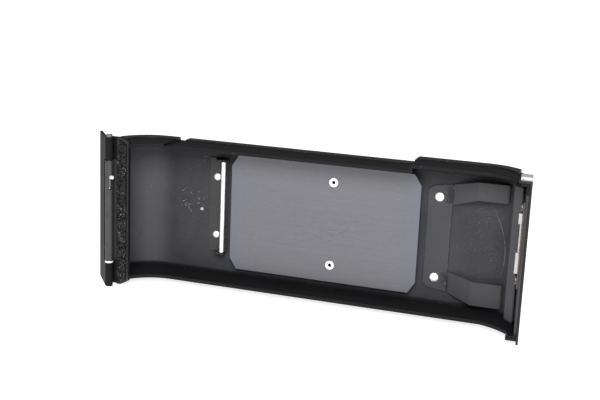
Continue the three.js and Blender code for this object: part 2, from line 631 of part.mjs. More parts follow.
function hingeLeaf() {
  const barrel = rodZ(BARREL_RADIUS, 0, 0, LOWER_JOINT_Z, UPPER_JOINT_Z);
  const back = LEDGE_FRONT_Y - SEAT_GAP;
  const barrelSpan = [LOWER_JOINT_Z, UPPER_JOINT_Z];
  const behindBarrel = block([LEDGE_FROM_X, LEAF_VISIBLE_TO_X], [LEAF_FRONT_Y, back], barrelSpan);
  const web = block(
    [-LEAF_WEB_HALF, LEAF_WEB_HALF],
    [(BORE_RADIUS + BARREL_RADIUS) / 2, LEAF_FRONT_Y + LEAF_WALL / 2],
    barrelSpan,
  );
  const underSeal = panel(ledgeOutline(LEAF_VISIBLE_TO_X - SEAT_GAP, LEDGE_HALF_HEIGHT), LEAF_FRONT_Y, back);
  const slotHalf = STUD_RADIUS + RUN_GAP;
  const slot = new THREE.BoxGeometry(
    BARREL_RADIUS + 1,
    2 * slotHalf,
    PIN_TRAVEL + 2 * slotHalf,
  );
  slot.translate((BARREL_RADIUS + 1) / 2, 0, STUD_Z - PIN_TRAVEL / 2);
  slot.rotateZ(radians(STUD_ANGLE));
  let solid = union([barrel, behindBarrel, web, underSeal])
    .subtract(rodZ(BORE_RADIUS, 0, 0, LOWER_JOINT_Z - 1, UPPER_JOINT_Z + 1))
    .subtract(toSolid(slot));
  for (const hole of leafRivets) {
    solid = solid.subtract(rodY(LEAF_RIVET_RADIUS + RUN_GAP, hole.x, hole.z, 0, LEDGE_FRONT_Y + 1));
  }
  return piece("hinge_leaf", solid, BLACK_STEEL());
}

function leafRivetPieces() {
  return leafRivets.map(({ x, z }, index) => {
    const solid = rodY(LEAF_RIVET_RADIUS, x, z, LEAF_FRONT_Y, LEDGE_FRONT_Y + LEDGE_WALL);
    return piece(`leaf_rivet_${index + 1}`, solid, BLACK_STEEL());
  });
}

function hingeSeal() {
  const y1 = LEAF_FRONT_Y - SEAT_GAP;
  const outline = ledgeOutline(LEAF_VISIBLE_TO_X + 2 * SEAT_GAP, LEDGE_HALF_HEIGHT - SEAL_SETBACK);
  return piece("hinge_seal", panel(outline, y1 - SEAL_THICKNESS, y1), FOAM());
}

function hingePin() {
  const solid = rodZ(PIN_RADIUS, 0, 0, PIN_TIP_Z - PIN_LENGTH, PIN_TIP_Z);
  return piece("hinge_pin", solid, BRIGHT_STEEL());
}

function releaseStud() {
  const from = PIN_RADIUS + SEAT_GAP;
  const geometry = new THREE.CylinderGeometry(STUD_RADIUS, STUD_RADIUS, STUD_REACH - from, HEAD_SIDES);
  geometry.rotateZ(Math.PI / 2);
  geometry.translate((from + STUD_REACH) / 2, 0, 0);
  geometry.rotateZ(radians(STUD_ANGLE));
  geometry.translate(0, 0, STUD_Z);
  return piece("release_stud", toSolid(geometry), BRIGHT_STEEL());
}

function pinSpring() {
  const radius = PIN_RADIUS - SPRING_WIRE / 2;
  const free = SPRING_LENGTH - SPRING_WIRE;
  class Coil extends THREE.Curve {
    getPoint(t, target = new THREE.Vector3()) {
      const angle = 2 * Math.PI * SPRING_TURNS * t;
      return target.set(
        radius * Math.cos(angle),
        radius * Math.sin(angle),
        SPRING_BASE_Z + SPRING_WIRE / 2 + free * t,
      );
    }
  }
  const section = new THREE.Shape(
    arcPoints([0, 0], SPRING_WIRE / 2, 0, 300, 5).map(([x, y]) => new THREE.Vector2(x, y)),
  );
  const geometry = new THREE.ExtrudeGeometry(section, {
    steps: SPRING_TURNS * 10,
    extrudePath: new Coil(),
    bevelEnabled: false,
  });
  return piece("pin_spring", toSolid(geometry), BRIGHT_STEEL());
}

function lowerPin() {
  const solid = rodZ(PIN_RADIUS, 0, 0, LOWER_PIN_END_Z, SPRING_BASE_Z - SEAT_GAP);
  return piece("lower_pin", solid, BRIGHT_STEEL());
}

function hingeWasher() {
  const z1 = LOWER_JOINT_Z - SEAT_GAP;
  const z0 = z1 - WASHER_THICKNESS;
  const solid = rodZ(WASHER_RADIUS, 0, 0, z0, z1).subtract(rodZ(BORE_RADIUS, 0, 0, z0 - 1, z1 + 1));
  return piece("hinge_washer", solid, BRIGHT_STEEL());
}

// The bracket is drawn as it stands with the door closed: its leaf runs along -Y and its seat faces +X.
const SEAT_X = BARREL_RADIUS + BRACKET_PROUD;
const bracketScrews = pairZ(0, BRACKET_SCREW_SPACING);

function hingeBracket() {
  const lowerTopZ = LOWER_JOINT_Z - 2 * SEAT_GAP - WASHER_THICKNESS;
  const knuckles = [
    rodZ(BARREL_RADIUS, 0, 0, UPPER_JOINT_Z + SWING_GAP, BARREL_TOP_Z),
    rodZ(BARREL_RADIUS, 0, 0, -BARREL_TOP_Z, lowerTopZ),
  ];
  const leaf = block([SEAT_X - BRACKET_WALL, SEAT_X], [-BRACKET_REACH, 0], [-BARREL_TOP_Z, BARREL_TOP_Z]);
  const clearReach = STUD_REACH + SWING_GAP;
  const clearance = block([-2, SEAT_X + 1], [-clearReach, 1], [lowerTopZ, UPPER_JOINT_Z + SWING_GAP]);
  let solid = union([leaf.subtract(clearance), ...knuckles])
    .subtract(rodZ(BORE_RADIUS, 0, 0, UPPER_JOINT_Z, BARREL_TOP_Z + 1))
    .subtract(rodZ(BORE_RADIUS, 0, 0, LOWER_PIN_END_Z - 1, lowerTopZ + 1));
  for (const screw of bracketScrews) {
    solid = solid.subtract(rodX(BRACKET_SCREW_SHANK + RUN_GAP, -BRACKET_SCREW_Y, screw.z, -2, SEAT_X + 1));
  }
  return piece("hinge_bracket", solid, BLACK_STEEL());
}

function bracketScrewPieces() {
  const headSeat = SEAT_X - BRACKET_WALL - SEAT_GAP;
  return bracketScrews.map(({ label, z }) => {
    const headTop = headSeat - BRACKET_SCREW_HEAD_HEIGHT;
    const head = rodX(BRACKET_SCREW_HEAD, -BRACKET_SCREW_Y, z, headTop, headSeat);
    const shank = rodX(BRACKET_SCREW_SHANK, -BRACKET_SCREW_Y, z, headTop, SEAT_X - SEAT_GAP);
    const slot = block(
      [headTop - 1, headTop + BRACKET_SCREW_HEAD_HEIGHT / 2],
      [-BRACKET_SCREW_Y - BRACKET_SCREW_HEAD, -BRACKET_SCREW_Y + BRACKET_SCREW_HEAD],
      [z - SCREW_SLOT_HALF, z + SCREW_SLOT_HALF],
    );
    return piece(`bracket_screw_${label}`, head.add(shank).subtract(slot), BLACK_STEEL());
  });
}

function hingeCap() {
  const headZ = BARREL_TOP_Z + SEAT_GAP;
  const stem = rodZ(PIN_RADIUS, 0, 0, headZ - CAP_STEM_LENGTH, headZ + CAP_HEIGHT / 2);
  const head = rodZ(CAP_RADIUS, 0, 0, headZ, headZ + CAP_HEIGHT);
  return piece("hinge_cap", stem.add(head), BRIGHT_STEEL());
}

// ---- Latch catch --------------------------------------------------------------------------------

function latchCatch() {
  const y0 = CATCH_FRONT_Y;
  const y1 = CATCH_FRONT_Y + CATCH_PLATE_WIDTH;
  const x1 = CATCH_X + CATCH_PLATE_WALL;
  const half = CATCH_PLATE_LENGTH / 2;
  const plate = block([CATCH_X, x1], [y0, y1], [CATCH_CENTRE_Z - half, CATCH_CENTRE_Z + half]);
  const lugY = y0 + CATCH_LUG_SETBACK;
  const lugs = [CATCH_UPPER_LUG, CATCH_LOWER_LUG].map((span) =>
    block([CATCH_X - CATCH_LUG_REACH, x1], [lugY, lugY + CATCH_LUG_WIDTH], span));
  const bar = block(
    [CATCH_X - CATCH_LUG_REACH / 2, x1],
    [lugY + CATCH_BAR_WIDTH, lugY + 2 * CATCH_BAR_WIDTH],
    [CATCH_LOWER_LUG[0], CATCH_UPPER_LUG[1]],
  );
  const solid = leaning(union([plate, ...lugs, bar])).subtract(catchScrewHoles());
  return piece("latch_catch", solid, BRIGHT_STEEL());
}

function latchScrewPieces() {
  return catchScrews.map(({ label, z }) => {
    const headX = CATCH_X - SEAT_GAP;
    const headTop = headX - CATCH_SCREW_HEAD_HEIGHT;
    const shank = rodX(CATCH_SCREW_RADIUS, catchScrewY, z, headTop, HINGE_TO_LATCH_END - 2 * SEAT_GAP);
    const head = rodX(CATCH_SCREW_HEAD_RADIUS, catchScrewY, z, headTop, headX);
    const slot = block(
      [headTop - 1, headTop + CATCH_SCREW_HEAD_HEIGHT / 2],
      [catchScrewY - CATCH_SCREW_HEAD_RADIUS, catchScrewY + CATCH_SCREW_HEAD_RADIUS],
      [z - SCREW_SLOT_HALF, z + SCREW_SLOT_HALF],
    );
    return piece(`latch_screw_${label}`, leaning(head.add(shank).subtract(slot)), BRIGHT_STEEL());
  });
}

// ---- Film roller --------------------------------------------------------------------------------

function rollerBracket() {
  const x0 = ROLLER_BRACKET_FROM_X;
  const x1 = x0 + ROLLER_BRACKET_WIDTH;
  const y1 = HINGE_TO_FLOOR - SEAT_GAP;
  const half = ROLLER_BRACKET_HEIGHT / 2;
  const z0 = ROLLER_CENTRE_Z - half;
  const z1 = ROLLER_CENTRE_Z + half;
  const earY = y1 - ROLLER_EAR_HEIGHT;
  const base = block([x0, x1], [y1 - ROLLER_BRACKET_WALL, y1], [z0, z1]);
  const earOutline = [
    [x1 - ROLLER_EAR_WIDTH - ROLLER_EAR_FOOT, y1],
    [x1 - ROLLER_EAR_WIDTH, earY + ROLLER_EAR_ROUND],
    [x1 - ROLLER_EAR_WIDTH + ROLLER_EAR_ROUND, earY],
    [x1 - ROLLER_EAR_ROUND / 2, earY],
    [x1, earY + ROLLER_EAR_ROUND / 2],
    [x1, y1],
  ];
  const ears = [z0, z1 - ROLLER_BRACKET_WALL].map((z) => prism(earOutline, z, z + ROLLER_BRACKET_WALL));
  let solid = union([base, ...ears]).subtract(
    rodZ(ROLLER_AXLE_RADIUS + RUN_GAP, ROLLER_X, ROLLER_Y, z0 - 1, z1 + 1),
  );
  for (const place of rollerRivets) {
    solid = solid.subtract(rodY(RIVET_SHANK + RUN_GAP, ROLLER_RIVET_X, place.z, y1 - 2, y1 + 1));
  }
  return piece("roller_bracket", solid, BLACK_STEEL());
}

function filmRoller() {
  const half = ROLLER_BRACKET_HEIGHT / 2;
  const inside = half - ROLLER_BRACKET_WALL - ROLLER_END_GAP;
  const body = rodZ(ROLLER_RADIUS, ROLLER_X, ROLLER_Y, ROLLER_CENTRE_Z - inside, ROLLER_CENTRE_Z + inside);
  const axle = rodZ(ROLLER_AXLE_RADIUS, ROLLER_X, ROLLER_Y, ROLLER_CENTRE_Z - half, ROLLER_CENTRE_Z + half);
  return piece("film_roller", body.add(axle), BRIGHT_STEEL());
}

// ---- Pressure plate -----------------------------------------------------------------------------

const plateStuds = pairZ(PLATE_CENTRE_Z, STUD_SPACING);

function pressurePlate() {
  const [x0, x1] = [PLATE_FROM_X, PLATE_FROM_X + PLATE_LENGTH];
  const [z0, z1] = [PLATE_CENTRE_Z - PLATE_HEIGHT / 2, PLATE_CENTRE_Z + PLATE_HEIGHT / 2];
  const outline = [
    [x0 + PLATE_CUT_X, z0],
    [x1 - PLATE_CUT_X, z0],
    [x1, z0 + PLATE_CUT_Z],
    [x1, z1 - PLATE_CUT_Z],
    [x1 - PLATE_CUT_X, z1],
    [x0 + PLATE_CUT_X, z1],
    [x0, z1 - PLATE_CUT_Z],
    [x0, z0 + PLATE_CUT_Z],
  ];
  let solid = panel(outline, PLATE_FRONT_Y, PLATE_BACK_Y);
  for (const stud of plateStuds) {
    const counterbore = PLATE_FRONT_Y + STUD_HEAD_HEIGHT + SEAT_GAP;
    solid = solid
      .subtract(rodY(STUD_HEAD_RADIUS + SEAT_GAP, STUD_X, stud.z, PLATE_FRONT_Y - 1, counterbore))
      .subtract(rodY(STUD_SHANK_RADIUS + SEAT_GAP, STUD_X, stud.z, PLATE_FRONT_Y - 1, PLATE_BACK_Y + 1));
  }
  return piece("pressure_plate", solid, PLATE_GREY());
}

// The heads are let into the plate, so that the film runs over a flush face.
function plateStudPieces() {
  return plateStuds.map(({ label, z }) => {
    const head = rodY(STUD_HEAD_RADIUS, STUD_X, z, PLATE_FRONT_Y, PLATE_FRONT_Y + STUD_HEAD_HEIGHT);
    const shank = rodY(STUD_SHANK_RADIUS, STUD_X, z, PLATE_FRONT_Y, PLATE_BACK_Y + STUD_TAIL);
    const hole = rodY(STUD_HOLE_RADIUS, STUD_X, z, PLATE_FRONT_Y - 1, PLATE_FRONT_Y + PLATE_WALL / 2);
    return piece(`plate_stud_${label}`, head.add(shank).subtract(hole), BRIGHT_STEEL());
  });
}

// A flat spring bowed between the tray floor and the plate, drawn at the height it is pressed to.
function plateSpring() {
  const y1 = HINGE_TO_FLOOR - SEAT_GAP;
  const half = STUD_SPACING / 2 - STUD_SHANK_RADIUS - SWING_GAP;
  const flat = PLATE_SPRING_RIVETS / 2 + 2;
  const profile = [
    [-half, y1 - PLATE_SPRING_RISE],
    [-flat, y1],
    [flat, y1],
    [half, y1 - PLATE_SPRING_RISE],
    [half, y1 - PLATE_SPRING_RISE - PLATE_SPRING_WALL],
    [flat, y1 - PLATE_SPRING_WALL],
    [-flat, y1 - PLATE_SPRING_WALL],
    [-half, y1 - PLATE_SPRING_RISE - PLATE_SPRING_WALL],
  ];
  const shape = new THREE.Shape(profile.map(([z, y]) => new THREE.Vector2(z, y)));
  const geometry = new THREE.ExtrudeGeometry(shape, { depth: PLATE_SPRING_WIDTH, bevelEnabled: false });
  geometry.rotateY(-Math.PI / 2);
  geometry.translate(STUD_X + PLATE_SPRING_WIDTH / 2, 0, PLATE_CENTRE_Z);
  let solid = toSolid(geometry);
  for (const place of plateSpringRivets) {
    solid = solid.subtract(rodY(RIVET_SHANK + RUN_GAP, STUD_X, place.z, y1 - 2, y1 + 1));
  }
  return piece("plate_spring", solid, DARK_SPRING());
}

// ---- Cassette spring ----------------------------------------------------------------------------

function cassetteSpringWeb() {
  const y1 = HINGE_TO_FLOOR - SEAT_GAP;
  const [x0, x1] = [SPRING_WEB_FROM_X, SPRING_BEND_X - SEAT_GAP];
  const half = SPRING_HALF_HEIGHT;
  const outline = [
    [x0 + SPRING_WEB_CUT, -half],
    [x1, -half - SPRING_ROOT_SPREAD],
    [x1, half + SPRING_ROOT_SPREAD],
    [x0 + SPRING_WEB_CUT, half],
    [x0, half - SPRING_WEB_CUT],
    [x0, -half + SPRING_WEB_CUT],
  ];
  let solid = panel(outline, y1 - SPRING_SHEET, y1);
  for (const place of cassetteRivets) {
    solid = solid.subtract(rodY(RIVET_SHANK + RUN_GAP, CASSETTE_RIVET_X, place.z, y1 - 2, y1 + 1));
  }
  return piece("cassette_spring_web", solid, DARK_SPRING());
}

// Each finger climbs from the bend to its crest and stays level to its tip.
function fingerProfile() {
  const low = HINGE_TO_FLOOR - SEAT_GAP - SPRING_SHEET;
  const high = low - SPRING_RISE;
  const climb = curvePoints(
    [SPRING_BEND_X + SPRING_SHEET, low],
    [(SPRING_BEND_X + SPRING_CREST_X) / 2, high],
    [SPRING_CREST_X, high],
    8,
  );
  const front = [[SPRING_BEND_X, low], ...climb, [SPRING_TIP_X, high]];
  const back = front.map(([x, y]) => [x, y + SPRING_SHEET]).reverse();
  return [...front, ...back];
}

function cassetteFinger(label, side, width) {
  const rootOuter = SPRING_HALF_HEIGHT + SPRING_ROOT_SPREAD;
  const outline = [
    [SPRING_BEND_X, side * rootOuter],
    [SPRING_CREST_X, side * SPRING_TIP_HALF_HEIGHT],
    [SPRING_TIP_X, side * SPRING_TIP_HALF_HEIGHT],
    [SPRING_TIP_X, side * (SPRING_TIP_HALF_HEIGHT - width)],
    [SPRING_CREST_X, side * (SPRING_TIP_HALF_HEIGHT - width)],
    [SPRING_BEND_X, side * SPRING_ROOT_INNER],
  ];
  const blank = panel(side > 0 ? outline.reverse() : outline, 0, BACK_Y);
  return piece(`cassette_finger_${label}`, blank.intersect(prism(fingerProfile(), -40, 40)), DARK_SPRING());
}

// ---- Rivets on the tray floor -------------------------------------------------------------------

function floorRivetPieces() {
  const shankEnd = HINGE_TO_FLOOR + FRAME_WALL;
  const make = (name, x, z, seatY, head, height) =>
    piece(name, rivet(x, z, seatY, head, height, RIVET_SHANK, shankEnd - seatY), BRIGHT_STEEL());
  const bracketFront = HINGE_TO_FLOOR - 2 * SEAT_GAP - ROLLER_BRACKET_WALL;
  const webFront = HINGE_TO_FLOOR - 2 * SEAT_GAP - SPRING_SHEET;
  const plateSpringFront = HINGE_TO_FLOOR - 2 * SEAT_GAP - PLATE_SPRING_WALL;
  return [
    ...rollerRivets.map(({ label, z }) =>
      make(`roller_rivet_${label}`, ROLLER_RIVET_X, z, bracketFront, ROLLER_RIVET_HEAD, ROLLER_RIVET_HEIGHT)),
    ...cassetteRivets.map(({ label, z }) =>
      make(`cassette_rivet_${label}`, CASSETTE_RIVET_X, z, webFront, SPRING_RIVET_HEAD, SPRING_RIVET_HEIGHT)),
    ...plateSpringRivets.map(({ label, z }) =>
      make(`plate_spring_rivet_${label}`, STUD_X, z, plateSpringFront, PLATE_SPRING_RIVET_HEAD,
        PLATE_SPRING_RIVET_HEIGHT)),
  ];
}

// ---- Assembly -----------------------------------------------------------------------------------

// The bracket group turns about the hinge axis from the closed position to the stored, open one.
const bracket = new THREE.Group();
bracket.rotation.z = -radians(OPEN_ANGLE);
bracket.add(hingeBracket(), ...bracketScrewPieces(), hingeCap());

const door = new THREE.Group();
door.add(
  outerCasing(),
  lightTrapFrame(),
  leatherettePanel(),
  memoHolder(),
  hingeLeaf(),
  ...leafRivetPieces(),
  hingeSeal(),
  hingePin(),
  releaseStud(),
  pinSpring(),
  lowerPin(),
  hingeWasher(),
  latchCatch(),
  ...latchScrewPieces(),
  rollerBracket(),
  filmRoller(),
  pressurePlate(),
  ...plateStudPieces(),
  plateSpring(),
  cassetteSpringWeb(),
  cassetteFinger("upper", 1, SPRING_UPPER_WIDTH),
  cassetteFinger("lower", -1, SPRING_LOWER_WIDTH),
  ...floorRivetPieces(),
);

// The origin is the middle of the bracket's seat, so the hinge axis stands a little away from it.
const seat = new THREE.Vector3(SEAT_X, -BRACKET_SCREW_Y, 0).applyEuler(bracket.rotation);
const filmBack = new THREE.Group();
filmBack.add(bracket, door);
filmBack.position.copy(seat).negate();

const assembly = new THREE.Group();
assembly.add(filmBack);

export default assembly;
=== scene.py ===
"""The open back of a 35 mm reflex camera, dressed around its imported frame.

Places are given as on a maker's drawing: in millimetres from the hinge axis, with x along the open
door to its latch end, y from the inside of the tray to its back, and z up along the hinge.
"""

import logging
import math
from dataclasses import dataclass, field
from enum import Enum
from typing import Any, Callable, Iterable, Sequence

import bpy
from mathutils import Matrix, Vector


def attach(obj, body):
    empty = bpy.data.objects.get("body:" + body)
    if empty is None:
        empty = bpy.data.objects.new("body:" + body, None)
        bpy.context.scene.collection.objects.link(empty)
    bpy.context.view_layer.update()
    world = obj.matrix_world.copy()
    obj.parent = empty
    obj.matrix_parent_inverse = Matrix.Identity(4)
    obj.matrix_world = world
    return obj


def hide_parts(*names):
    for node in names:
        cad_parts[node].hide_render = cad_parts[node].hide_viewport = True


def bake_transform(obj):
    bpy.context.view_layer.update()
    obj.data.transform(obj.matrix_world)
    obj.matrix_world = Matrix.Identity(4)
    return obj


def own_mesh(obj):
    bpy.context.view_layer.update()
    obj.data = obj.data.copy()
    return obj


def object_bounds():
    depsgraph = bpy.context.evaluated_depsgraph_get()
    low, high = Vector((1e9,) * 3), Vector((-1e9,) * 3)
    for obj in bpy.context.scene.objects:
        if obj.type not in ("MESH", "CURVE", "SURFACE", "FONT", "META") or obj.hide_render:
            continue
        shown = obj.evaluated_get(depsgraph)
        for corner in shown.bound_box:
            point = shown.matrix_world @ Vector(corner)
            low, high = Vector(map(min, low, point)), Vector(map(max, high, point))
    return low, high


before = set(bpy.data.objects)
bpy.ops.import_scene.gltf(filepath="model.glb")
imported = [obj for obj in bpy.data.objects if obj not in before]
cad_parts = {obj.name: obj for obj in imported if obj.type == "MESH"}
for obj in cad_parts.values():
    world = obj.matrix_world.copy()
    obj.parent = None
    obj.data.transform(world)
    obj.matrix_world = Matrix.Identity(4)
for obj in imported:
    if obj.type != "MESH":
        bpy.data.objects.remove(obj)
CAD_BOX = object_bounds()

log = logging.getLogger("film_back")

MM = 0.001
HINGE_AXIS = (5.8128, -5.6368)  # its place from the frame's origin, in millimetres
NOISE_ROUGHNESS = 0.6  # how strong each finer layer of noise is against the one before
DOUBLE = 1e-6  # vertices nearer than this, in metres, are one
SOFT_SHARE = 0.4  # the share of its half size within which a mark is at full strength
SCRATCH_DEPTH = 8.0  # how deep a scratch's cell is, in millimetres, so that it crosses the sheet
WANDER = 7.0  # the length in millimetres over which bent scratches change course
EDGE_TURN = (0.98, 0.86)  # cosines between which a turn of the surface counts as an edge

Colour = tuple[float, float, float]
Test = Callable[[Vector], bool]


def at(x: float, y: float, z: float) -> Vector:
    """A point given from the hinge axis in millimetres, in the frame's metres."""
    return Vector((x + HINGE_AXIS[0], y + HINGE_AXIS[1], z)) * MM


class Body(Enum):
    """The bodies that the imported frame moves."""

    CAMERA_SIDE = "camera_side"
    DOOR = "door"
    ROLLER = "roller"
    PLATE = "plate"
    UPPER_FINGER = "upper_finger"
    LOWER_FINGER = "lower_finger"
    RELEASE_PIN = "release_pin"


class Slot(Enum):
    """The record's material slots."""

    GLOSS_BLACK = "gloss_black"
    MATT_BLACK = "matt_black"
    LEATHERETTE = "leatherette"
    PLATE_GREY = "plate_grey"
    DARK_SPRING = "dark_spring"
    BLACK_STEEL = "blackened_steel"
    BRIGHT_STEEL = "bright_steel"
    FOAM = "foam"


# ---- Shader maths -------------------------------------------------------------------------------


class Shade:
    """A number that varies over a surface. Arithmetic on it adds Math nodes."""

    def __init__(self, recipe: "Recipe", socket: bpy.types.NodeSocket) -> None:
        """Wraps a socket.

        Args:
            recipe: The material that the socket belongs to.
            socket: The output that holds the number.
        """
        self.recipe = recipe
        self.socket = socket

    def _math(self, operation: str, first: Any, second: Any = 0.0) -> "Shade":
        """Adds one Math node.

        Args:
            operation: The Math node's operation.
            first: A number or a Shade.
            second: A number or a Shade.

        Returns:
            The node's result.
        """
        node = self.recipe.node("ShaderNodeMath", {"operation": operation}, {0: first, 1: second})
        return Shade(self.recipe, node.outputs[0])

    def __add__(self, other: Any) -> "Shade":
        """Sum."""
        return self._math("ADD", self, other)

    def __sub__(self, other: Any) -> "Shade":
        """Difference."""
        return self._math("SUBTRACT", self, other)

    def __rsub__(self, other: Any) -> "Shade":
        """Difference from a number."""
        return self._math("SUBTRACT", other, self)

    def __mul__(self, other: Any) -> "Shade":
        """Product."""
        return self._math("MULTIPLY", self, other)

    def __abs__(self) -> "Shade":
        """Size without sign."""
        return self._math("ABSOLUTE", self)

    __radd__ = __add__
    __rmul__ = __mul__

    def most(self, other: Any) -> "Shade":
        """The larger of two numbers."""
        return self._math("MAXIMUM", self, other)

    def rise(self, low: float, high: float) -> "Shade":
        """A smooth step.

        Args:
            low: Where the step starts.
            high: Where it ends. It may be below low, for a step that falls.

        Returns:
            0 before the step, 1 after it.
        """
        node = self.recipe.node(
            "ShaderNodeMapRange",
            {"interpolation_type": "SMOOTHSTEP", "clamp": True},
            {"Value": self, "From Min": low, "From Max": high},
        )
        return Shade(self.recipe, node.outputs["Result"])


class Recipe:
    """A material under construction: its nodes, and the surface that they end in."""

    def __init__(self, name: str) -> None:
        """Starts an empty material.

        Args:
            name: The material's name.
        """
        self.material = bpy.data.materials.new(name)
        self.material.use_nodes = True
        self.tree = self.material.node_tree
        self.tree.nodes.clear()
        out = self.tree.nodes.new("ShaderNodeOutputMaterial")
        self.surface = self.tree.nodes.new("ShaderNodeBsdfPrincipled")
        self.tree.links.new(self.surface.outputs[0], out.inputs["Surface"])
        self.place = self.node("ShaderNodeTexCoord").outputs["Object"]

    def node(
        self,
        kind: str,
        settings: dict[str, Any] | None = None,
        inputs: dict[Any, Any] | None = None,
    ) -> bpy.types.Node:
        """Adds a node.

        Args:
            kind: The node's type.
            settings: Its own settings, set first.
            inputs: Values or links of its sockets, by name or place.

        Returns:
            The node.
        """
        node = self.tree.nodes.new(kind)
        for key, value in (settings or {}).items():
            setattr(node, key, value)
        for key, value in (inputs or {}).items():
            self.feed(node.inputs[key], value)
        return node

    def feed(self, socket: bpy.types.NodeSocket, value: Any) -> None:
        """Links or sets one socket.

        Args:
            socket: The input.
            value: A Shade, an output socket, a number or a colour.
        """
        if isinstance(value, Shade):
            value = value.socket
        if isinstance(value, bpy.types.NodeSocket):
            self.tree.links.new(value, socket)
        elif isinstance(value, (tuple, list, Vector)) and socket.type == "RGBA":
            socket.default_value = (*value, 1.0)
        else:
            socket.default_value = value

    def stretched(self, scale: Sequence[float]) -> bpy.types.NodeSocket:
        """The piece's own place, stretched by pattern units to a metre along each axis."""
        return self.multiplied(self.place, scale)

    def multiplied(self, vector: Any, scale: Sequence[float]) -> bpy.types.NodeSocket:
        """A vector, multiplied axis by axis."""
        inputs = {0: vector, 1: tuple(scale)}
        return self.node("ShaderNodeVectorMath", {"operation": "MULTIPLY"}, inputs).outputs[0]

    def noise(self, size: float, detail: float = 3.0, vector: Any = None) -> Shade:
        """Soft noise.

        Args:
            size: The size of its features in millimetres, or 1 for a vector already scaled.
            detail: How many finer layers it has.
            vector: The vector to read it by, if not the piece's own place.

        Returns:
            The noise, around 0.5.
        """
        scale = 1 / (size * MM) if vector is None else 1 / size
        inputs = {"Vector": vector or self.place, "Scale": scale, "Detail": detail}
        inputs["Roughness"] = NOISE_ROUGHNESS
        return Shade(self, self.node("ShaderNodeTexNoise", inputs=inputs).outputs[0])

    def cells(self, size: float, feature: str = "F1", vector: Any = None) -> Shade:
        """Distance to the nearest of many scattered points, or to the border between two.

        Args:
            size: The space between the points, in millimetres.
            feature: F1, or DISTANCE_TO_EDGE.
            vector: The vector to read it by, if not the piece's own place.

        Returns:
            The distance, from 0.
        """
        node = self.node(
            "ShaderNodeTexVoronoi",
            {"feature": feature},
            {"Vector": vector or self.place, "Scale": 1 / (size * MM)},
        )
        return Shade(self, node.outputs["Distance"])

    def edges(self, width: float) -> Shade:
        """Where the surface turns sharply.

        Args:
            width: How near to an edge counts, in millimetres.

        Returns:
            1 on an edge, 0 away from it.
        """
        rounded = self.node("ShaderNodeBevel", {"samples": 6}, {"Radius": width * MM})
        flat = self.node("ShaderNodeNewGeometry")
        kept = self.node(
            "ShaderNodeVectorMath",
            {"operation": "DOT_PRODUCT"},
            {0: rounded.outputs["Normal"], 1: flat.outputs["True Normal"]},
        )
        return Shade(self, kept.outputs["Value"]).rise(*EDGE_TURN)

    def blend(self, mask: Any, first: Any, second: Any) -> bpy.types.NodeSocket:
        """Mixes two colours.

        Args:
            mask: 0 for the first colour, 1 for the second.
            first: A colour or its socket.
            second: A colour or its socket.

        Returns:
            The mixed colour.
        """
        node = self.node("ShaderNodeMix", {"data_type": "RGBA"}, {0: mask, 6: first, 7: second})
        return node.outputs[2]

    def along(self, axis: str) -> Shade:
        """The piece's own place along one axis, in millimetres in the frame."""
        split = self.node("ShaderNodeSeparateXYZ", inputs={0: self.place})
        return Shade(self, split.outputs[axis]) * (1 / MM)

    def dashes(
        self, length: float, width: float, spread: float, angle: float, bend: float = 0.0
    ) -> Shade:
        """Short fine scratches on a surface that faces out of the tray.

        Args:
            length: A scratch's greatest length in millimetres.
            width: Its greatest width in millimetres.
            spread: How much room each has, as a multiple of its size.
            angle: Its slope, in degrees from the door's length.
            bend: How far the scratches wander, in millimetres.

        Returns:
            1 on a scratch, 0 off it.
        """
        place = self.place
        if bend:
            inputs = {"Vector": place, "Scale": 1 / (WANDER * MM)}
            wander = self.node("ShaderNodeTexNoise", inputs=inputs)
            shift = self.node(
                "ShaderNodeVectorMath",
                {"operation": "MULTIPLY_ADD"},
                {0: wander.outputs["Color"], 1: (bend * MM, 0, bend * MM), 2: place},
            )
            place = shift.outputs[0]
        turned = self.node(
            "ShaderNodeMapping", inputs={"Vector": place, "Rotation": [0, math.radians(angle), 0]}
        )
        reach = 1 / (2 * spread)
        units = [1 / (size * spread * MM) for size in (length, SCRATCH_DEPTH, width)]
        scaled = self.multiplied(turned.outputs[0], units)
        return self.cells(1.0 / MM, vector=scaled).rise(reach, reach * SOFT_SHARE)

    def spot(self, x: float, z: float, half_x: float, half_z: float) -> Shade:
        """A soft patch on the tray's inside.

        Args:
            x: Its middle, from the hinge axis.
            z: Its middle's height.
            half_x: Half its length.
            half_z: Half its height.

        Returns:
            1 in its middle, 0 outside it.
        """
        across = abs(self.along("X") - (x + HINGE_AXIS[0])).rise(half_x, half_x * SOFT_SHARE)
        up = abs(self.along("Z") - z).rise(half_z, half_z * SOFT_SHARE)
        return across * up

    def finish(
        self, colour: Any, roughness: Any, height: Shade | None, depth: float, **fixed: Any
    ) -> None:
        """Ends the material.

        Args:
            colour: The base colour.
            roughness: The roughness.
            height: The relief, from 0 to 1, or None where there is none.
            depth: The relief's depth in millimetres.
            fixed: Further sockets of the surface, by name with _ for a space.
        """
        self.feed(self.surface.inputs["Base Color"], colour)
        self.feed(self.surface.inputs["Roughness"], roughness)
        for name, value in fixed.items():
            self.feed(self.surface.inputs[name.replace("_", " ")], value)
        if height is not None:
            inputs = {"Height": height, "Distance": depth * MM, "Strength": 1.0}
            bump = self.node("ShaderNodeBump", inputs=inputs)
            self.feed(self.surface.inputs["Normal"], bump.outputs["Normal"])


# ---- Finishes -----------------------------------------------------------------------------------


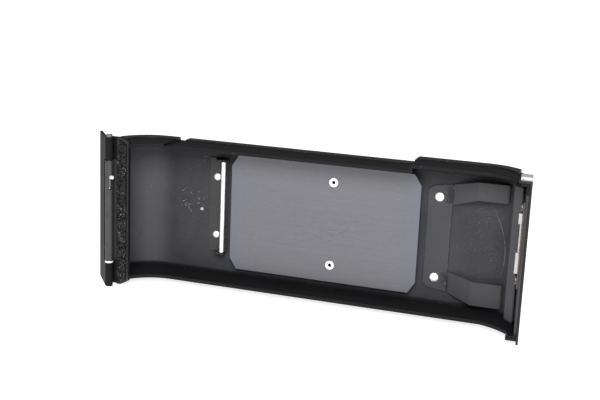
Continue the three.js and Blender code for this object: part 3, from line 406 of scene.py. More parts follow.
@dataclass(frozen=True)
class Paint:
    """Black paint on metal: mottled, finely grained, dusty, scratched and worn at its edges."""

    name: str
    dark: Colour
    light: Colour
    worn: Colour
    roughness: float
    grain_depth: float = 0.006
    specular: float = 0.3
    dust: float = 0.4
    scratched: float = 0.4
    edge_wear: float = 0.4
    worn_metal: float = 0.0

    def tone(self, recipe: Recipe, shade: Shade) -> Any:
        """The unworn paint's colour.

        Args:
            recipe: The material.
            shade: The mottling, from 0 to 1.

        Returns:
            The colour.
        """
        return recipe.blend(shade, self.dark, self.light)

    def marks(self, recipe: Recipe) -> Shade:
        """The scratches, from 0 to 1."""
        fine = recipe.dashes(4.0, 0.07, 3.6, 24.0, 3.0) * 0.26
        steep = recipe.dashes(2.6, 0.08, 4.2, -63.0, 2.0) * 0.2
        patchy = recipe.noise(11.0, 1.0).rise(0.4, 0.6)
        return fine.most(steep) * patchy * self.scratched

    def make(self) -> bpy.types.Material:
        """Builds the material."""
        recipe = Recipe(self.name)
        mottle = recipe.noise(14.0, 4.0)
        grain = recipe.noise(0.3, 3.0)
        colour = self.tone(recipe, (mottle * 0.55 + grain * 0.45).rise(0.34, 0.66))
        dusty = recipe.noise(5.0, 1.0).rise(0.62 - 0.2 * self.dust, 0.7)
        specks = recipe.cells(1.9).rise(0.1, 0.05) * dusty
        scratches = self.marks(recipe)
        colour = recipe.blend((specks * (0.6 * self.dust)).most(scratches), colour, self.worn)
        chips = recipe.edges(0.28) * recipe.noise(1.2, 4.0).rise(0.66 - 0.3 * self.edge_wear, 0.74)
        colour = recipe.blend(chips, colour, self.worn)
        roughness = mottle * 0.14 + grain * 0.12 + (self.roughness - 0.13)
        roughness = roughness - chips * 0.2 - scratches * 0.1
        relief = grain * 0.8 - scratches * 0.4 - chips * 0.6
        recipe.finish(
            colour,
            roughness,
            relief,
            self.grain_depth,
            Metallic=chips * self.worn_metal,
            Specular_IOR_Level=self.specular,
        )
        return recipe.material


@dataclass(frozen=True)
class CasingPaint(Paint):
    """The casing's gloss paint, painted pale along its corner over the latch."""

    corner_x: float = 134.5
    corner_z: float = 25.0

    def marks(self, recipe: Recipe) -> Shade:
        """The scratches, with the pale corner."""
        corner = recipe.along("X").rise(self.corner_x - 1.5, self.corner_x + 1.5)
        corner = corner * recipe.along("Z").rise(self.corner_z, self.corner_z + 0.7)
        # the corner over the latch is painted pale, in the same colour as the scratches
        pale_corner = recipe.edges(0.6).most(0.8) * corner * recipe.noise(0.9, 3.0).rise(0.3, 0.42)
        return super().marks(recipe).most(pale_corner)


@dataclass(frozen=True)
class TrayPaint(Paint):
    """The tray's matt paint, scuffed by film ends, with painted light on the hinge-end arc and the
    latch-end ridge and painted shade on its rims and the hinge-end lip.
    """

    # painted shade: the near-black colour painted on the rims and on the hinge-end lip
    wall: Colour = (0.008, 0.008, 0.0088)
    # painted light: the paler colour painted on the hinge-end arc and the latch-end ridge
    polished: Colour = (0.085, 0.085, 0.093)
    wall_z: tuple[float, float] = (20.3, 21.4)
    # arc_x, ridge_x and ridge_end_x bound the painted light; lip_y and lip_x bound the painted shade
    # on the lip
    arc_x: tuple[float, float] = (21.0, 13.0)
    lip_y: tuple[float, float] = (-0.2, -1.2)
    ridge_x: tuple[float, float] = (133.5, 135.0)
    ridge_end_x: tuple[float, float] = (138.9, 138.2)
    lip_x: tuple[float, float] = (26.0, 20.0)
    high_scuff: tuple[float, ...] = (23.4, 16.4, 3.8, 2.6)
    low_scuff: tuple[float, ...] = (20.4, 2.2, 6.0, 5.0)
    chip: tuple[float, ...] = (24.2, -0.4, 0.75, 0.6)
    rub_x: float = 127.0
    rub_bend: float = 0.0234
    rub_patch: tuple[float, ...] = (124.0, 1.0, 8.0, 13.0)
    lint_patch: tuple[float, ...] = (121.0, 0.0, 10.0, 15.0)

    def tone(self, recipe: Recipe, shade: Shade) -> Any:
        """The unworn paint's colour, with painted light on the hinge-end arc and the ridge and painted
        shade on the rims and the lip.
        """
        rubbed = super().tone(recipe, shade)
        # painted light: the hinge-end arc and the latch-end ridge are painted paler
        arc = recipe.along("X").rise(*self.arc_x) * 0.5
        ridge = recipe.along("X").rise(*self.ridge_x) * recipe.along("X").rise(*self.ridge_end_x)
        rubbed = recipe.blend(arc.most(ridge), rubbed, self.polished)
        # painted shade: the rims, past wall_z, and the hinge-end lip are painted near black
        lip = recipe.along("Y").rise(*self.lip_y) * recipe.along("X").rise(*self.lip_x)
        walls = abs(recipe.along("Z")).rise(*self.wall_z).most(lip)
        return recipe.blend(walls, rubbed, self.wall)

    def marks(self, recipe: Recipe) -> Shade:
        """The scratches, with two scuffed patches where film ends strike the floor."""
        first = recipe.spot(*self.high_scuff) * 0.6
        second = recipe.spot(*self.low_scuff)
        broken = recipe.noise(1.6, 2.0).rise(0.44, 0.52)
        flecks = recipe.dashes(2.4, 0.26, 2.1, 28.0, 2.0)
        flecks = flecks.most(recipe.dashes(1.6, 0.2, 2.3, -55.0, 1.0) * 0.7)
        struck = recipe.spot(*self.chip) * recipe.noise(0.5, 2.0).rise(0.36, 0.5)
        scuffs = (flecks * broken * first.most(second)).most(struck)
        up = recipe.along("Z") + 3.0
        arc = recipe.along("X") - (self.rub_x + HINGE_AXIS[0]) + up * up * self.rub_bend
        rub = abs(arc).rise(0.16, 0.02) * recipe.spot(*self.rub_patch)
        rub = rub * recipe.noise(2.2, 2.0).rise(0.3, 0.6)
        lint = recipe.cells(0.8).rise(0.17, 0.1) * recipe.noise(4.0, 2.0).rise(0.44, 0.58)
        lint = lint * recipe.spot(*self.lint_patch)
        floor = abs(recipe.along("Z")).rise(self.wall_z[1], self.wall_z[0])
        plain = super().marks(recipe) * (floor * 0.75 + 0.25)
        return plain.most(scuffs).most(rub * 0.22).most(lint * 0.2)


@dataclass(frozen=True)
class Steel:
    """Bare or blackened steel: drawn along one axis, with tarnish in patches and fine hairlines."""

    name: str
    clean: Colour
    tarnished: Colour
    roughness: float
    grain: tuple[float, float, float]
    tarnish: float = 0.4
    metallic: float = 1.0

    def make(self) -> bpy.types.Material:
        """Builds the material."""
        recipe = Recipe(self.name)
        drawn = recipe.noise(1.0, 3.0, recipe.stretched(self.grain))
        patches = recipe.noise(2.6, 5.0).rise(0.7 - 0.3 * self.tarnish, 0.78)
        spots = recipe.cells(1.1).rise(0.1, 0.05) * recipe.noise(2.4, 1.0).rise(0.55, 0.62)
        stain = (patches * 0.5).most(spots * self.tarnish)
        colour = recipe.blend(stain, self.clean, self.tarnished)
        colour = recipe.blend((drawn - 0.5).rise(0.0, 0.5) * 0.5, colour, self.tarnished)
        roughness = drawn * 0.14 + stain * 0.2 + (self.roughness - 0.07)
        recipe.finish(colour, roughness, drawn - stain * 0.4, 0.004, Metallic=self.metallic)
        return recipe.material


@dataclass(frozen=True)
class HardCoat:
    """The pressure plate's grey hard coating, polished along the film's path by the film's run."""

    name: str = "plate_hard_coat"
    base: Colour = (0.106, 0.105, 0.117)
    polished: Colour = (0.117, 0.116, 0.129)
    worn: Colour = (0.25, 0.25, 0.27)
    nicked: Colour = (0.03, 0.03, 0.034)
    bluish: Colour = (0.105, 0.112, 0.143)
    roughness: float = 0.4
    nicked_patch: tuple[float, ...] = (69.0, -1.0, 17.0, 7.0)
    middle_x: float = 67.7
    blue_ends: tuple[float, float] = (24.0, 32.0)

    def make(self) -> bpy.types.Material:
        """Builds the material."""
        recipe = Recipe(self.name)
        run = recipe.noise(1.0, 4.0, recipe.stretched((9, 300, 1500)))
        cloud = recipe.noise(26.0, 3.0)
        grain = recipe.noise(0.25, 3.0)
        polish = (run * 0.45 + cloud * 0.2 + grain * 0.35).rise(0.36, 0.64)
        colour = recipe.blend(polish, self.base, self.polished)
        middle = recipe.spot(*self.nicked_patch)
        nicks = recipe.dashes(2.8, 0.14, 2.1, 4.0, 1.5)
        nicks = nicks.most(recipe.dashes(1.6, 0.12, 2.4, -12.0, 1.0))
        pale = recipe.dashes(3.0, 0.07, 2.0, -3.0, 1.0) * 0.35
        colour = recipe.blend(nicks * middle * 0.75, colour, self.nicked)
        colour = recipe.blend(pale, colour, self.worn)
        rubbed = recipe.edges(0.3) * recipe.noise(2.0, 3.0).rise(0.42, 0.6)
        colour = recipe.blend(rubbed * 0.4, colour, self.worn)
        ends = abs(recipe.along("X") - (self.middle_x + HINGE_AXIS[0])).rise(*self.blue_ends)
        colour = recipe.blend(ends * 0.7, colour, self.bluish)
        roughness = run * 0.1 + grain * 0.08 + (self.roughness - 0.09)
        relief = grain * 0.7 + run * 0.5 - nicks * 0.6
        recipe.finish(colour, roughness, relief, 0.003, Metallic=0.15)
        return recipe.material


@dataclass(frozen=True)
class FoamStock:
    """Black open-cell light seal foam with lint caught in its pores."""

    name: str = "seal_foam"
    pore: Colour = (0.002, 0.002, 0.0025)
    skin: Colour = (0.022, 0.022, 0.023)
    lint: Colour = (0.3, 0.3, 0.31)

    def make(self) -> bpy.types.Material:
        """Builds the material."""
        recipe = Recipe(self.name)
        walls = recipe.cells(0.6)
        fine = recipe.noise(0.3, 4.0)
        clumps = recipe.noise(1.1, 3.0)
        tone = (walls * 0.5 + fine * 0.5 + clumps).rise(0.75, 1.25)
        colour = recipe.blend(tone, self.pore, self.skin)
        caught = recipe.noise(0.55, 2.0).rise(0.6, 0.66) * recipe.noise(4.0, 2.0).rise(0.42, 0.56)
        colour = recipe.blend(caught * 0.38, colour, self.lint)
        recipe.finish(colour, fine * 0.1 + 0.86, walls + fine * 0.6, 0.16, Specular_IOR_Level=0.1)
        return recipe.material


@dataclass(frozen=True)
class Pebbled:
    """Black leatherette with an embossed pebble grain."""

    name: str = "pebbled_leatherette"
    valley: Colour = (0.006, 0.006, 0.0065)
    crown: Colour = (0.026, 0.026, 0.027)
    rubbed: Colour = (0.07, 0.07, 0.072)

    def make(self) -> bpy.types.Material:
        """Builds the material."""
        recipe = Recipe(self.name)
        pebble = recipe.cells(0.95, "DISTANCE_TO_EDGE").rise(0.0, 0.22)
        fine = recipe.noise(0.16, 3.0)
        colour = recipe.blend(pebble, self.valley, self.crown)
        handled = recipe.noise(26.0, 3.0).rise(0.5, 0.7) * pebble * 0.5
        colour = recipe.blend(handled, colour, self.rubbed)
        roughness = 0.74 - pebble * 0.16 - handled * 0.2 + fine * 0.08
        recipe.finish(colour, roughness, pebble + fine * 0.25, 0.09)
        return recipe.material


@dataclass(frozen=True)
class Backdrop:
    """The pale floor's plain paint."""

    name: str = "pale_floor"
    colour: Colour = (0.9, 0.9, 0.9)
    glow: float = 0.8

    def make(self) -> bpy.types.Material:
        """Builds the material."""
        recipe = Recipe(self.name)
        shaded = tuple(0.985 * part for part in self.colour)
        tone = recipe.blend(recipe.noise(400.0, 2.0), self.colour, shaded)
        recipe.finish(
            tone,
            0.8,
            None,
            0.0,
            Specular_IOR_Level=0.1,
            Emission_Color=(1.0, 1.0, 1.0),
            Emission_Strength=self.glow,
        )
        return recipe.material


@dataclass(frozen=True)
class Finish:
    """A material, and the record's slot that it belongs to."""

    slot: Slot
    material: bpy.types.Material


def made(slot: Slot, stock: Any) -> Any:
    """A field that holds a stock's finish, built when the set of finishes is."""
    return field(default_factory=lambda: Finish(slot, stock.make()))


@dataclass
class Finishes:
    """Every finish of the film back, built once."""

    tray: Finish = made(Slot.MATT_BLACK, TrayPaint(
        "matt_tray_paint", (0.030, 0.030, 0.033), (0.046, 0.046, 0.051), (0.45, 0.45, 0.48),
        0.6, specular=0.12, dust=0.5, scratched=0.5, edge_wear=0.0
    ))
    casing: Finish = made(Slot.GLOSS_BLACK, CasingPaint(
        "casing_gloss_paint", (0.008, 0.008, 0.009), (0.016, 0.016, 0.017),
        (0.62, 0.61, 0.6), 0.42, grain_depth=0.003, specular=0.2, dust=0.25, scratched=0.3,
        edge_wear=0.3, worn_metal=0.9
    ))
    leatherette: Finish = made(Slot.LEATHERETTE, Pebbled())
    plate: Finish = made(Slot.PLATE_GREY, HardCoat())
    spring: Finish = made(Slot.DARK_SPRING, Paint(
        "blackened_spring", (0.037, 0.037, 0.039), (0.046, 0.046, 0.049), (0.24, 0.24, 0.26),
        0.46, grain_depth=0.003, specular=0.25, dust=0.4, scratched=0.35, edge_wear=0.3,
        worn_metal=0.5
    ))
    bracket: Finish = made(Slot.BLACK_STEEL, Paint(
        "blackened_bracket", (0.030, 0.031, 0.030), (0.038, 0.039, 0.037), (0.3, 0.3, 0.29),
        0.45, grain_depth=0.003, specular=0.25, dust=0.2, scratched=0.3, edge_wear=0.3,
        worn_metal=0.7
    ))
    camera_side: Finish = made(Slot.BLACK_STEEL, Paint(
        "camera_side_paint", (0.005, 0.005, 0.006), (0.010, 0.010, 0.011), (0.2, 0.2, 0.2),
        0.6, grain_depth=0.003, specular=0.08, dust=0.15, scratched=0.2, edge_wear=0.2,
        worn_metal=0.8
    ))
    barrel: Finish = made(Slot.BLACK_STEEL, Steel(
        "rubbed_hinge_steel", (0.05, 0.05, 0.052), (0.02, 0.02, 0.021), 0.42, (900, 900, 60),
        tarnish=0.7, metallic=0.5
    ))
    bright: Finish = made(Slot.BRIGHT_STEEL, Steel(
        "bright_steel_upright", (0.86, 0.86, 0.86), (0.5, 0.47, 0.43), 0.36,
        (1500, 1500, 50), tarnish=0.25
    ))
    turned: Finish = made(Slot.BRIGHT_STEEL, Steel(
        "bright_steel_turned", (0.92, 0.92, 0.91), (0.6, 0.57, 0.53), 0.48, (500, 500, 500),
        tarnish=0.12, metallic=0.6
    ))
    catch: Finish = made(Slot.BRIGHT_STEEL, Steel(
        "catch_steel", (0.42, 0.41, 0.40), (0.16, 0.12, 0.09), 0.45, (900, 900, 120),
        tarnish=0.6, metallic=0.8
    ))
    browned: Finish = made(Slot.BRIGHT_STEEL, Steel(
        "browned_steel", (0.10, 0.075, 0.06), (0.035, 0.024, 0.018), 0.5, (900, 900, 120),
        tarnish=0.7, metallic=0.4
    ))
    dull: Finish = made(Slot.BRIGHT_STEEL, Steel(
        "dull_steel_turned", (0.16, 0.16, 0.16), (0.06, 0.06, 0.058), 0.45, (500, 500, 500),
        tarnish=0.6, metallic=0.7
    ))
    foam: Finish = made(Slot.FOAM, FoamStock())


# ---- The workbench ------------------------------------------------------------------------------


class Bench:
    """Work on one piece at a time with Blender's own tools."""

    @staticmethod
    def clear() -> None:
        """Leaves edit mode and lays everything down."""
        active = bpy.context.view_layer.objects.active
        if active is not None and active.mode != "OBJECT":
            Bench.close()
        bpy.ops.object.select_all(action="DESELECT")

    @classmethod
    def take(cls, piece: bpy.types.Object) -> bpy.types.Object:
        """Takes up one piece alone."""
        cls.clear()
        piece.select_set(True)
        bpy.context.view_layer.objects.active = piece
        return piece

    @staticmethod
    def add(name: str, data: Any) -> bpy.types.Object:
        """Adds an object that holds the given data to the scene."""
        thing = bpy.data.objects.new(name, data)
        bpy.context.scene.collection.objects.link(thing)
        return thing

    @classmethod
    def name(cls, name: str) -> bpy.types.Object:
        """Names the primitive just added, and puts its place in its mesh.

        Args:
            name: The piece's name.

        Returns:
            The piece.
        """
        piece = cls.take(bpy.context.view_layer.objects.active)
        piece.name = name
        piece.data.name = name
        bpy.ops.object.transform_apply(location=True, rotation=True, scale=True)
        return piece

    @classmethod
    def pick(cls, piece: bpy.types.Object, kind: str, test: Test) -> None:
        """Opens a piece in edit mode with some of it selected.

        Args:
            piece: The piece.
            kind: VERT or FACE.
            test: Says of a vertex's place, or of a face's middle, whether it is selected.
        """
        cls.take(piece)
        bpy.ops.object.mode_set(mode="EDIT")
        bpy.ops.mesh.select_mode(type=kind)
        bpy.ops.mesh.select_all(action="DESELECT")
        Bench.close()
        if kind == "VERT":
            for vertex in piece.data.vertices:
                vertex.select = test(vertex.co)
        else:
            for polygon in piece.data.polygons:
                polygon.select = test(polygon.center)
        bpy.ops.object.mode_set(mode="EDIT")

    @staticmethod
    def close() -> None:
        """Leaves edit mode."""
        bpy.ops.object.mode_set(mode="OBJECT")

    @staticmethod
    def pull(shift: Iterable[float]) -> None:
        """Extrudes what is selected by a shift in metres."""
        bpy.ops.mesh.extrude_region_move(TRANSFORM_OT_translate={"value": tuple(shift)})

    @staticmethod
    def swell(factors: Iterable[float], centre: Iterable[float]) -> None:
        """Scales what is selected about a centre."""
        bpy.ops.transform.resize(value=tuple(factors), center_override=tuple(centre))

    @classmethod
    def modify(cls, piece: bpy.types.Object, kind: str, **settings: Any) -> None:
        """Adds a modifier and applies it.

        Args:
            piece: The piece.
            kind: The modifier's type.
            settings: Its settings.
        """
        cls.take(piece)
        modifier = piece.modifiers.new(kind.title(), kind)
        for key, value in settings.items():
            setattr(modifier, key, value)
        bpy.ops.object.modifier_apply(modifier=modifier.name)

    @classmethod
    def soften(
        cls, piece: bpy.types.Object, width: float, segments: int = 2, sharp: float = 30.0
    ) -> None:
        """Rounds a piece's edges and smooths its shading.

        Args:
            piece: The piece.
            width: The rounding's width in millimetres.
            segments: How many faces cross it.
            sharp: The least angle that is rounded, in degrees.
        """
        cls.modify(
            piece,
            "BEVEL",
            width=width * MM,
            segments=segments,
            limit_method="ANGLE",
            angle_limit=math.radians(sharp),
            use_clamp_overlap=False,
            miter_outer="MITER_ARC",
        )
        cls.smooth(piece)

    @classmethod
    def chamfer(cls, piece: bpy.types.Object, width: float, segments: int, sharp: float) -> None:
        """Rounds a turned piece's sharp edges, and leaves its shading.

        Args:
            piece: The piece.
            width: The rounding's width in millimetres.
            segments: How many faces cross it.
            sharp: The least angle that is rounded, in degrees.
        """
        rounding = {"limit_method": "ANGLE", "angle_limit": math.radians(sharp)}
        cls.modify(piece, "BEVEL", width=width * MM, segments=segments, **rounding)

    @classmethod
    def emboss(cls, piece: bpy.types.Object, texture: bpy.types.Texture, depth: float) -> None:
        """Presses a texture into a piece, by up to a depth in millimetres."""
        settings = {"texture": texture, "texture_coords": "LOCAL", "mid_level": 0.0}
        cls.modify(piece, "DISPLACE", strength=-depth * MM, **settings)

    @classmethod
    def thicken(cls, piece: bpy.types.Object, thickness: float) -> None:
        """Gives a sheet its thickness in millimetres, behind the face that was rolled."""
        cls.modify(piece, "SOLIDIFY", thickness=thickness * MM, offset=-1.0)

    @classmethod
    def smooth(cls, piece: bpy.types.Object, angle: float = 35.0) -> None:
        """Smooths a piece's shading up to an angle in degrees."""
        cls.take(piece)
        bpy.ops.object.shade_smooth_by_angle(angle=math.radians(angle))
        cls.modify(piece, "WEIGHTED_NORMAL", weight=100, keep_sharp=True)

    @classmethod
    def outward(cls, piece: bpy.types.Object) -> None:
        """Merges doubles and turns a closed piece's faces outwards."""
        cls.take(piece)
        bpy.ops.object.mode_set(mode="EDIT")
        bpy.ops.mesh.select_all(action="SELECT")
        bpy.ops.mesh.remove_doubles(threshold=DOUBLE)
        bpy.ops.mesh.normals_make_consistent(inside=False)
        Bench.close()

    @classmethod
    def slice(
        cls,
        piece: bpy.types.Object,
        place: Vector,
        normal: Sequence[float],
        drop_behind: bool = False,
    ) -> None:
        """Cuts a piece along a plane.

        Args:
            piece: The piece.
            place: A point of the plane.
            normal: The plane's normal.
            drop_behind: Whether what lies behind the plane goes, with the cut closed.
        """
        cls.take(piece)
        bpy.ops.object.mode_set(mode="EDIT")
        bpy.ops.mesh.select_all(action="SELECT")
        bpy.ops.mesh.bisect(
            plane_co=tuple(place),
            plane_no=tuple(normal),
            use_fill=drop_behind,
            clear_inner=drop_behind,
            threshold=1e-7,
        )
        Bench.close()

    @classmethod
    def cast(cls, node: str, name: str) -> bpy.types.Object:
        """Copies a node of the frame as a clean mesh of its own.

        Args:
            node: The node.
            name: The new piece's name.

        Returns:
            The new piece, with its doubles merged and its flat faces whole.
        """
        piece = cls.add(name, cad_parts[node].data.copy())
        piece.data.name = name
        piece.data.materials.clear()
        cls.take(piece)
        bpy.ops.mesh.customdata_custom_splitnormals_clear()
        bpy.ops.object.mode_set(mode="EDIT")
        bpy.ops.mesh.select_all(action="SELECT")
        bpy.ops.mesh.remove_doubles(threshold=DOUBLE)
        bpy.ops.mesh.dissolve_limited(angle_limit=math.radians(0.5))
        Bench.close()
        return piece

    @classmethod
    def copy(cls, piece: bpy.types.Object, name: str, shift: Vector) -> bpy.types.Object:
        """Copies a finished piece, with its own mesh, to another place.

        Args:
            piece: The piece to repeat.
            name: The copy's name.
            shift: How far away it is, in metres.

        Returns:
            The copy.
        """
        twin = cls.add(name, piece.data.copy())
        twin.data.name = name
        twin.data.transform(Matrix.Translation(shift))
        return twin


@dataclass(frozen=True)
class Line:
    """One line across a sheet of metal, between two points."""

    start: Vector
    end: Vector

    @property
    def middle(self) -> Vector:
        """The point halfway along the line."""
        return (self.start + self.end) / 2

    @property
    def span(self) -> Vector:
        """The line's length and direction."""
        return self.end - self.start


class Sheet:
    """Sheet stock, rolled out line by line from one strip."""

    @staticmethod
    def roll(name: str, lines: Sequence[Line], cuts: int) -> bpy.types.Object:
        """Rolls out a sheet through a run of lines.

        Args:
            name: The piece's name.
            lines: The lines that the sheet passes through. All point the same way.
            cuts: How many faces lie across the sheet.

        Returns:
            The sheet, without thickness. It faces the way of its run turned into its lines.
        """
        first, second = lines[0], lines[1]
        run = second.middle - first.middle
        Bench.clear()
        bpy.ops.mesh.primitive_grid_add(x_subdivisions=1, y_subdivisions=cuts, size=1)
        piece = bpy.context.view_layer.objects.active
        basis = Matrix((run, first.span, run.cross(first.span).normalized())).transposed()
        piece.matrix_world = Matrix.Translation((first.middle + second.middle) / 2) @ basis.to_4x4()
        Bench.name(name)
        far = -0.5 * run.length_squared
        Bench.pick(piece, "VERT", lambda place: (place - second.middle).dot(run) > far)
        Sheet._fit(first, second)
        Sheet.draw_on(lines[1:])
        return piece

    @staticmethod
    def draw_on(lines: Sequence[Line]) -> None:
        """Draws the selected edge on through a run of lines, and ends the edit.

        Args:
            lines: The lines, of which the first is the selected edge.
        """
        for before, after in zip(lines, lines[1:]):
            Bench.pull(after.middle - before.middle)
            Sheet._fit(before, after)
        Bench.close()

    @staticmethod
    def _fit(before: Line, after: Line) -> None:
        """Widens or narrows the selected edge to its own line.

        Args:
            before: The line that it was drawn from.
            after: The line that it has to fit.
        """
        factor = after.span.length / before.span.length
        if abs(factor - 1) > 1e-6:
            along = before.span.normalized()
            Bench.swell([1 + (factor - 1) * abs(part) for part in along], after.middle)


class Assembly:
    """Hangs finished pieces on the frame's bodies and keeps count of them."""

    def __init__(self) -> None:
        """Starts with no pieces."""
        self.count = 0

    def fit(
        self, piece: bpy.types.Object, body: Body, finish: Finish, node: str
    ) -> bpy.types.Object:
        """Dresses a new piece and hangs it on its body.

        Args:
            piece: The piece, in place.
            body: What it moves with.
            finish: Its finish.
            node: The frame's node that it stands for.

        Returns:
            The piece.
        """
        Bench.clear()
        piece.data.materials.clear()
        piece.data.materials.append(finish.material)
        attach(piece, body.value)
        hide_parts(node)
        self.count += 1
        log.info("%s rides on %s", piece.name, body.value)
        return piece

    def refine(
        self, node: str, body: Body, finish: Finish, round_off: float, segments: int = 2
    ) -> bpy.types.Object:
        """Stands a softened casting of a node in that node's place.

        Args:
            node: The node.
            body: What it moves with.
            finish: Its finish.
            round_off: The width of its edges' rounding in millimetres.
            segments: How many faces cross the rounding.

        Returns:
            The piece.
        """
        piece = Bench.cast(node, f"{node}_finished")
        Bench.soften(piece, round_off, segments)
        return self.fit(piece, body, finish, node)

    def pair(
        self, fastener: "Rivet | Eyelet", names: tuple[str, str], centre: Sequence[float],
        spread: float, body: Body, finish: Finish,
    ) -> list[bpy.types.Object]:
        """Fits a fastener above a centre, and its copy as far below.

        Args:
            fastener: What to model.
            names: The pieces' name and the frame's nodes' name, with {} for upper or lower.
            centre: The middle between the two.
            spread: How far each stands from it, in millimetres.
            body: What they move with.
            finish: Their finish.

        Returns:
            The upper and the lower piece.
        """
        name, node = names
        x, y, z = centre
        upper = fastener.model(name.format("upper"), x, y, z + spread)
        lower = Bench.copy(upper, name.format("lower"), Vector((0, 0, -2 * spread * MM)))
        for piece, place in ((upper, "upper"), (lower, "lower")):
            self.fit(piece, body, finish, node.format(place))
        return [upper, lower]


# ---- Fasteners ----------------------------------------------------------------------------------


@dataclass(frozen=True)
class Rivet:
    """A domed rivet head with a small flat rim, facing out of the tray."""

    radius: float
    height: float
    sides: int = 40
    steps: int = 6
    rim: float = 0.3

    def model(self, name: str, x: float, seat_y: float, z: float) -> bpy.types.Object:
        """Models the head.

        Args:
            name: The piece's name.
            x: Its centre.
            seat_y: The surface that it stands on.
            z: Its centre's height.

        Returns:
            The head.
        """
        centre = at(x, seat_y, z)
        Bench.clear()
        bpy.ops.mesh.primitive_circle_add(
            vertices=self.sides,
            radius=self.radius * MM,
            fill_type="NGON",
            location=centre,
            rotation=(math.pi / 2, 0, 0),
        )
        piece = Bench.name(name)
        Bench.pick(piece, "FACE", lambda middle: True)
        rim_height = self.height * self.rim
        Bench.pull((0, -rim_height * MM, 0))
        dome = self.height - rim_height
        radius, height = self.radius, 0.0
        for step in range(1, self.steps + 1):
            angle = step / (self.steps + 1) * math.pi / 2
            new_radius, new_height = self.radius * math.cos(angle), dome * math.sin(angle)
            Bench.pull((0, -(new_height - height) * MM, 0))
            factor = new_radius / radius
            Bench.swell((factor, 1, factor), centre)
            radius, height = new_radius, new_height
        bpy.ops.mesh.inset(thickness=radius * 0.5 * MM, depth=0)
        Bench.close()
        Bench.outward(piece)
        Bench.chamfer(piece, 0.08, 2, 50)
        Bench.smooth(piece, 40)
        return piece


@dataclass(frozen=True)
class Eyelet:
    """A hollow stud, rolled into a ring at the film side and running back through its plate."""

    radius: float = 1.5
    hole: float = 0.52
    head: float = 0.3
    shank: float = 1.0
    length: float = 1.4
    roll: float = 0.13
    sides: int = 40

    def model(self, name: str, x: float, front_y: float, z: float) -> bpy.types.Object:
        """Models the stud.

        Args:
            name: The piece's name.
            x: Its centre.
            front_y: The film side's face.
            z: Its centre's height.

        Returns:
            The stud.
        """
        back = at(x, front_y + self.head, z)
        Bench.clear()
        bpy.ops.mesh.primitive_cylinder_add(
            vertices=self.sides,
            radius=self.radius * MM,
            depth=self.head * MM,
            location=at(x, front_y + self.head / 2, z),
            rotation=(math.pi / 2, 0, 0),
        )
        piece = Bench.name(name)
        middle_y = at(x, front_y + self.head / 2, z).y
        Bench.pick(piece, "FACE", lambda middle: middle.y > back.y - 0.1 * self.head * MM)
        bpy.ops.mesh.inset(thickness=(self.radius - self.shank) * MM, depth=0)
        Bench.pull((0, (self.length - self.head) * MM, 0))
        Bench.pick(
            piece,
            "FACE",
            lambda middle: middle.y < middle_y and (middle - at(x, front_y, z)).length < 0.1 * MM,
        )
        bpy.ops.mesh.inset(thickness=(self.radius - self.hole - self.roll) * MM, depth=0)
        bpy.ops.mesh.inset(thickness=self.roll * MM, depth=-self.roll * MM)
        Bench.pull((0, (self.length - 0.3) * MM, 0))
        Bench.close()
        Bench.chamfer(piece, 0.1, 3, 40)
        Bench.smooth(piece, 40)
        return piece

    def darken_bore(self, piece: bpy.types.Object, material: bpy.types.Material) -> None:
        """Paints the inside of the stud near black: painted shade in its bore.

        Args:
            piece: The stud, dressed outside.
            material: The near-black finish that paints the bore's shade.
        """
        low = min(vertex.co.y for vertex in piece.data.vertices)
        vertices = piece.data.vertices
        centre = sum((vertex.co for vertex in vertices), Vector()) / len(vertices)
        piece.data.materials.append(material)
        for polygon in piece.data.polygons:
            away = math.hypot(polygon.center.x - centre.x, polygon.center.z - centre.z)
            deep = polygon.center.y > low + 0.12 * MM
            inside = away < (self.hole + 0.03) * MM
            if deep and inside and polygon.center.y < low + (self.length - 0.1) * MM:
                polygon.material_index = 1


# ---- Sub-assemblies -----------------------------------------------------------------------------


@dataclass
class Tray:
    """The door's two shells: the glossy outer casing and the matt light-trap frame inside it."""

    casing_round: float = 0.14
    frame_round: float = 0.12

    def build(self, assembly: Assembly, finishes: Finishes) -> None:
        """Builds both shells."""
        assembly.refine("outer_casing", Body.DOOR, finishes.casing, self.casing_round, 3)
        assembly.refine("light_trap_frame", Body.DOOR, finishes.tray, self.frame_round)


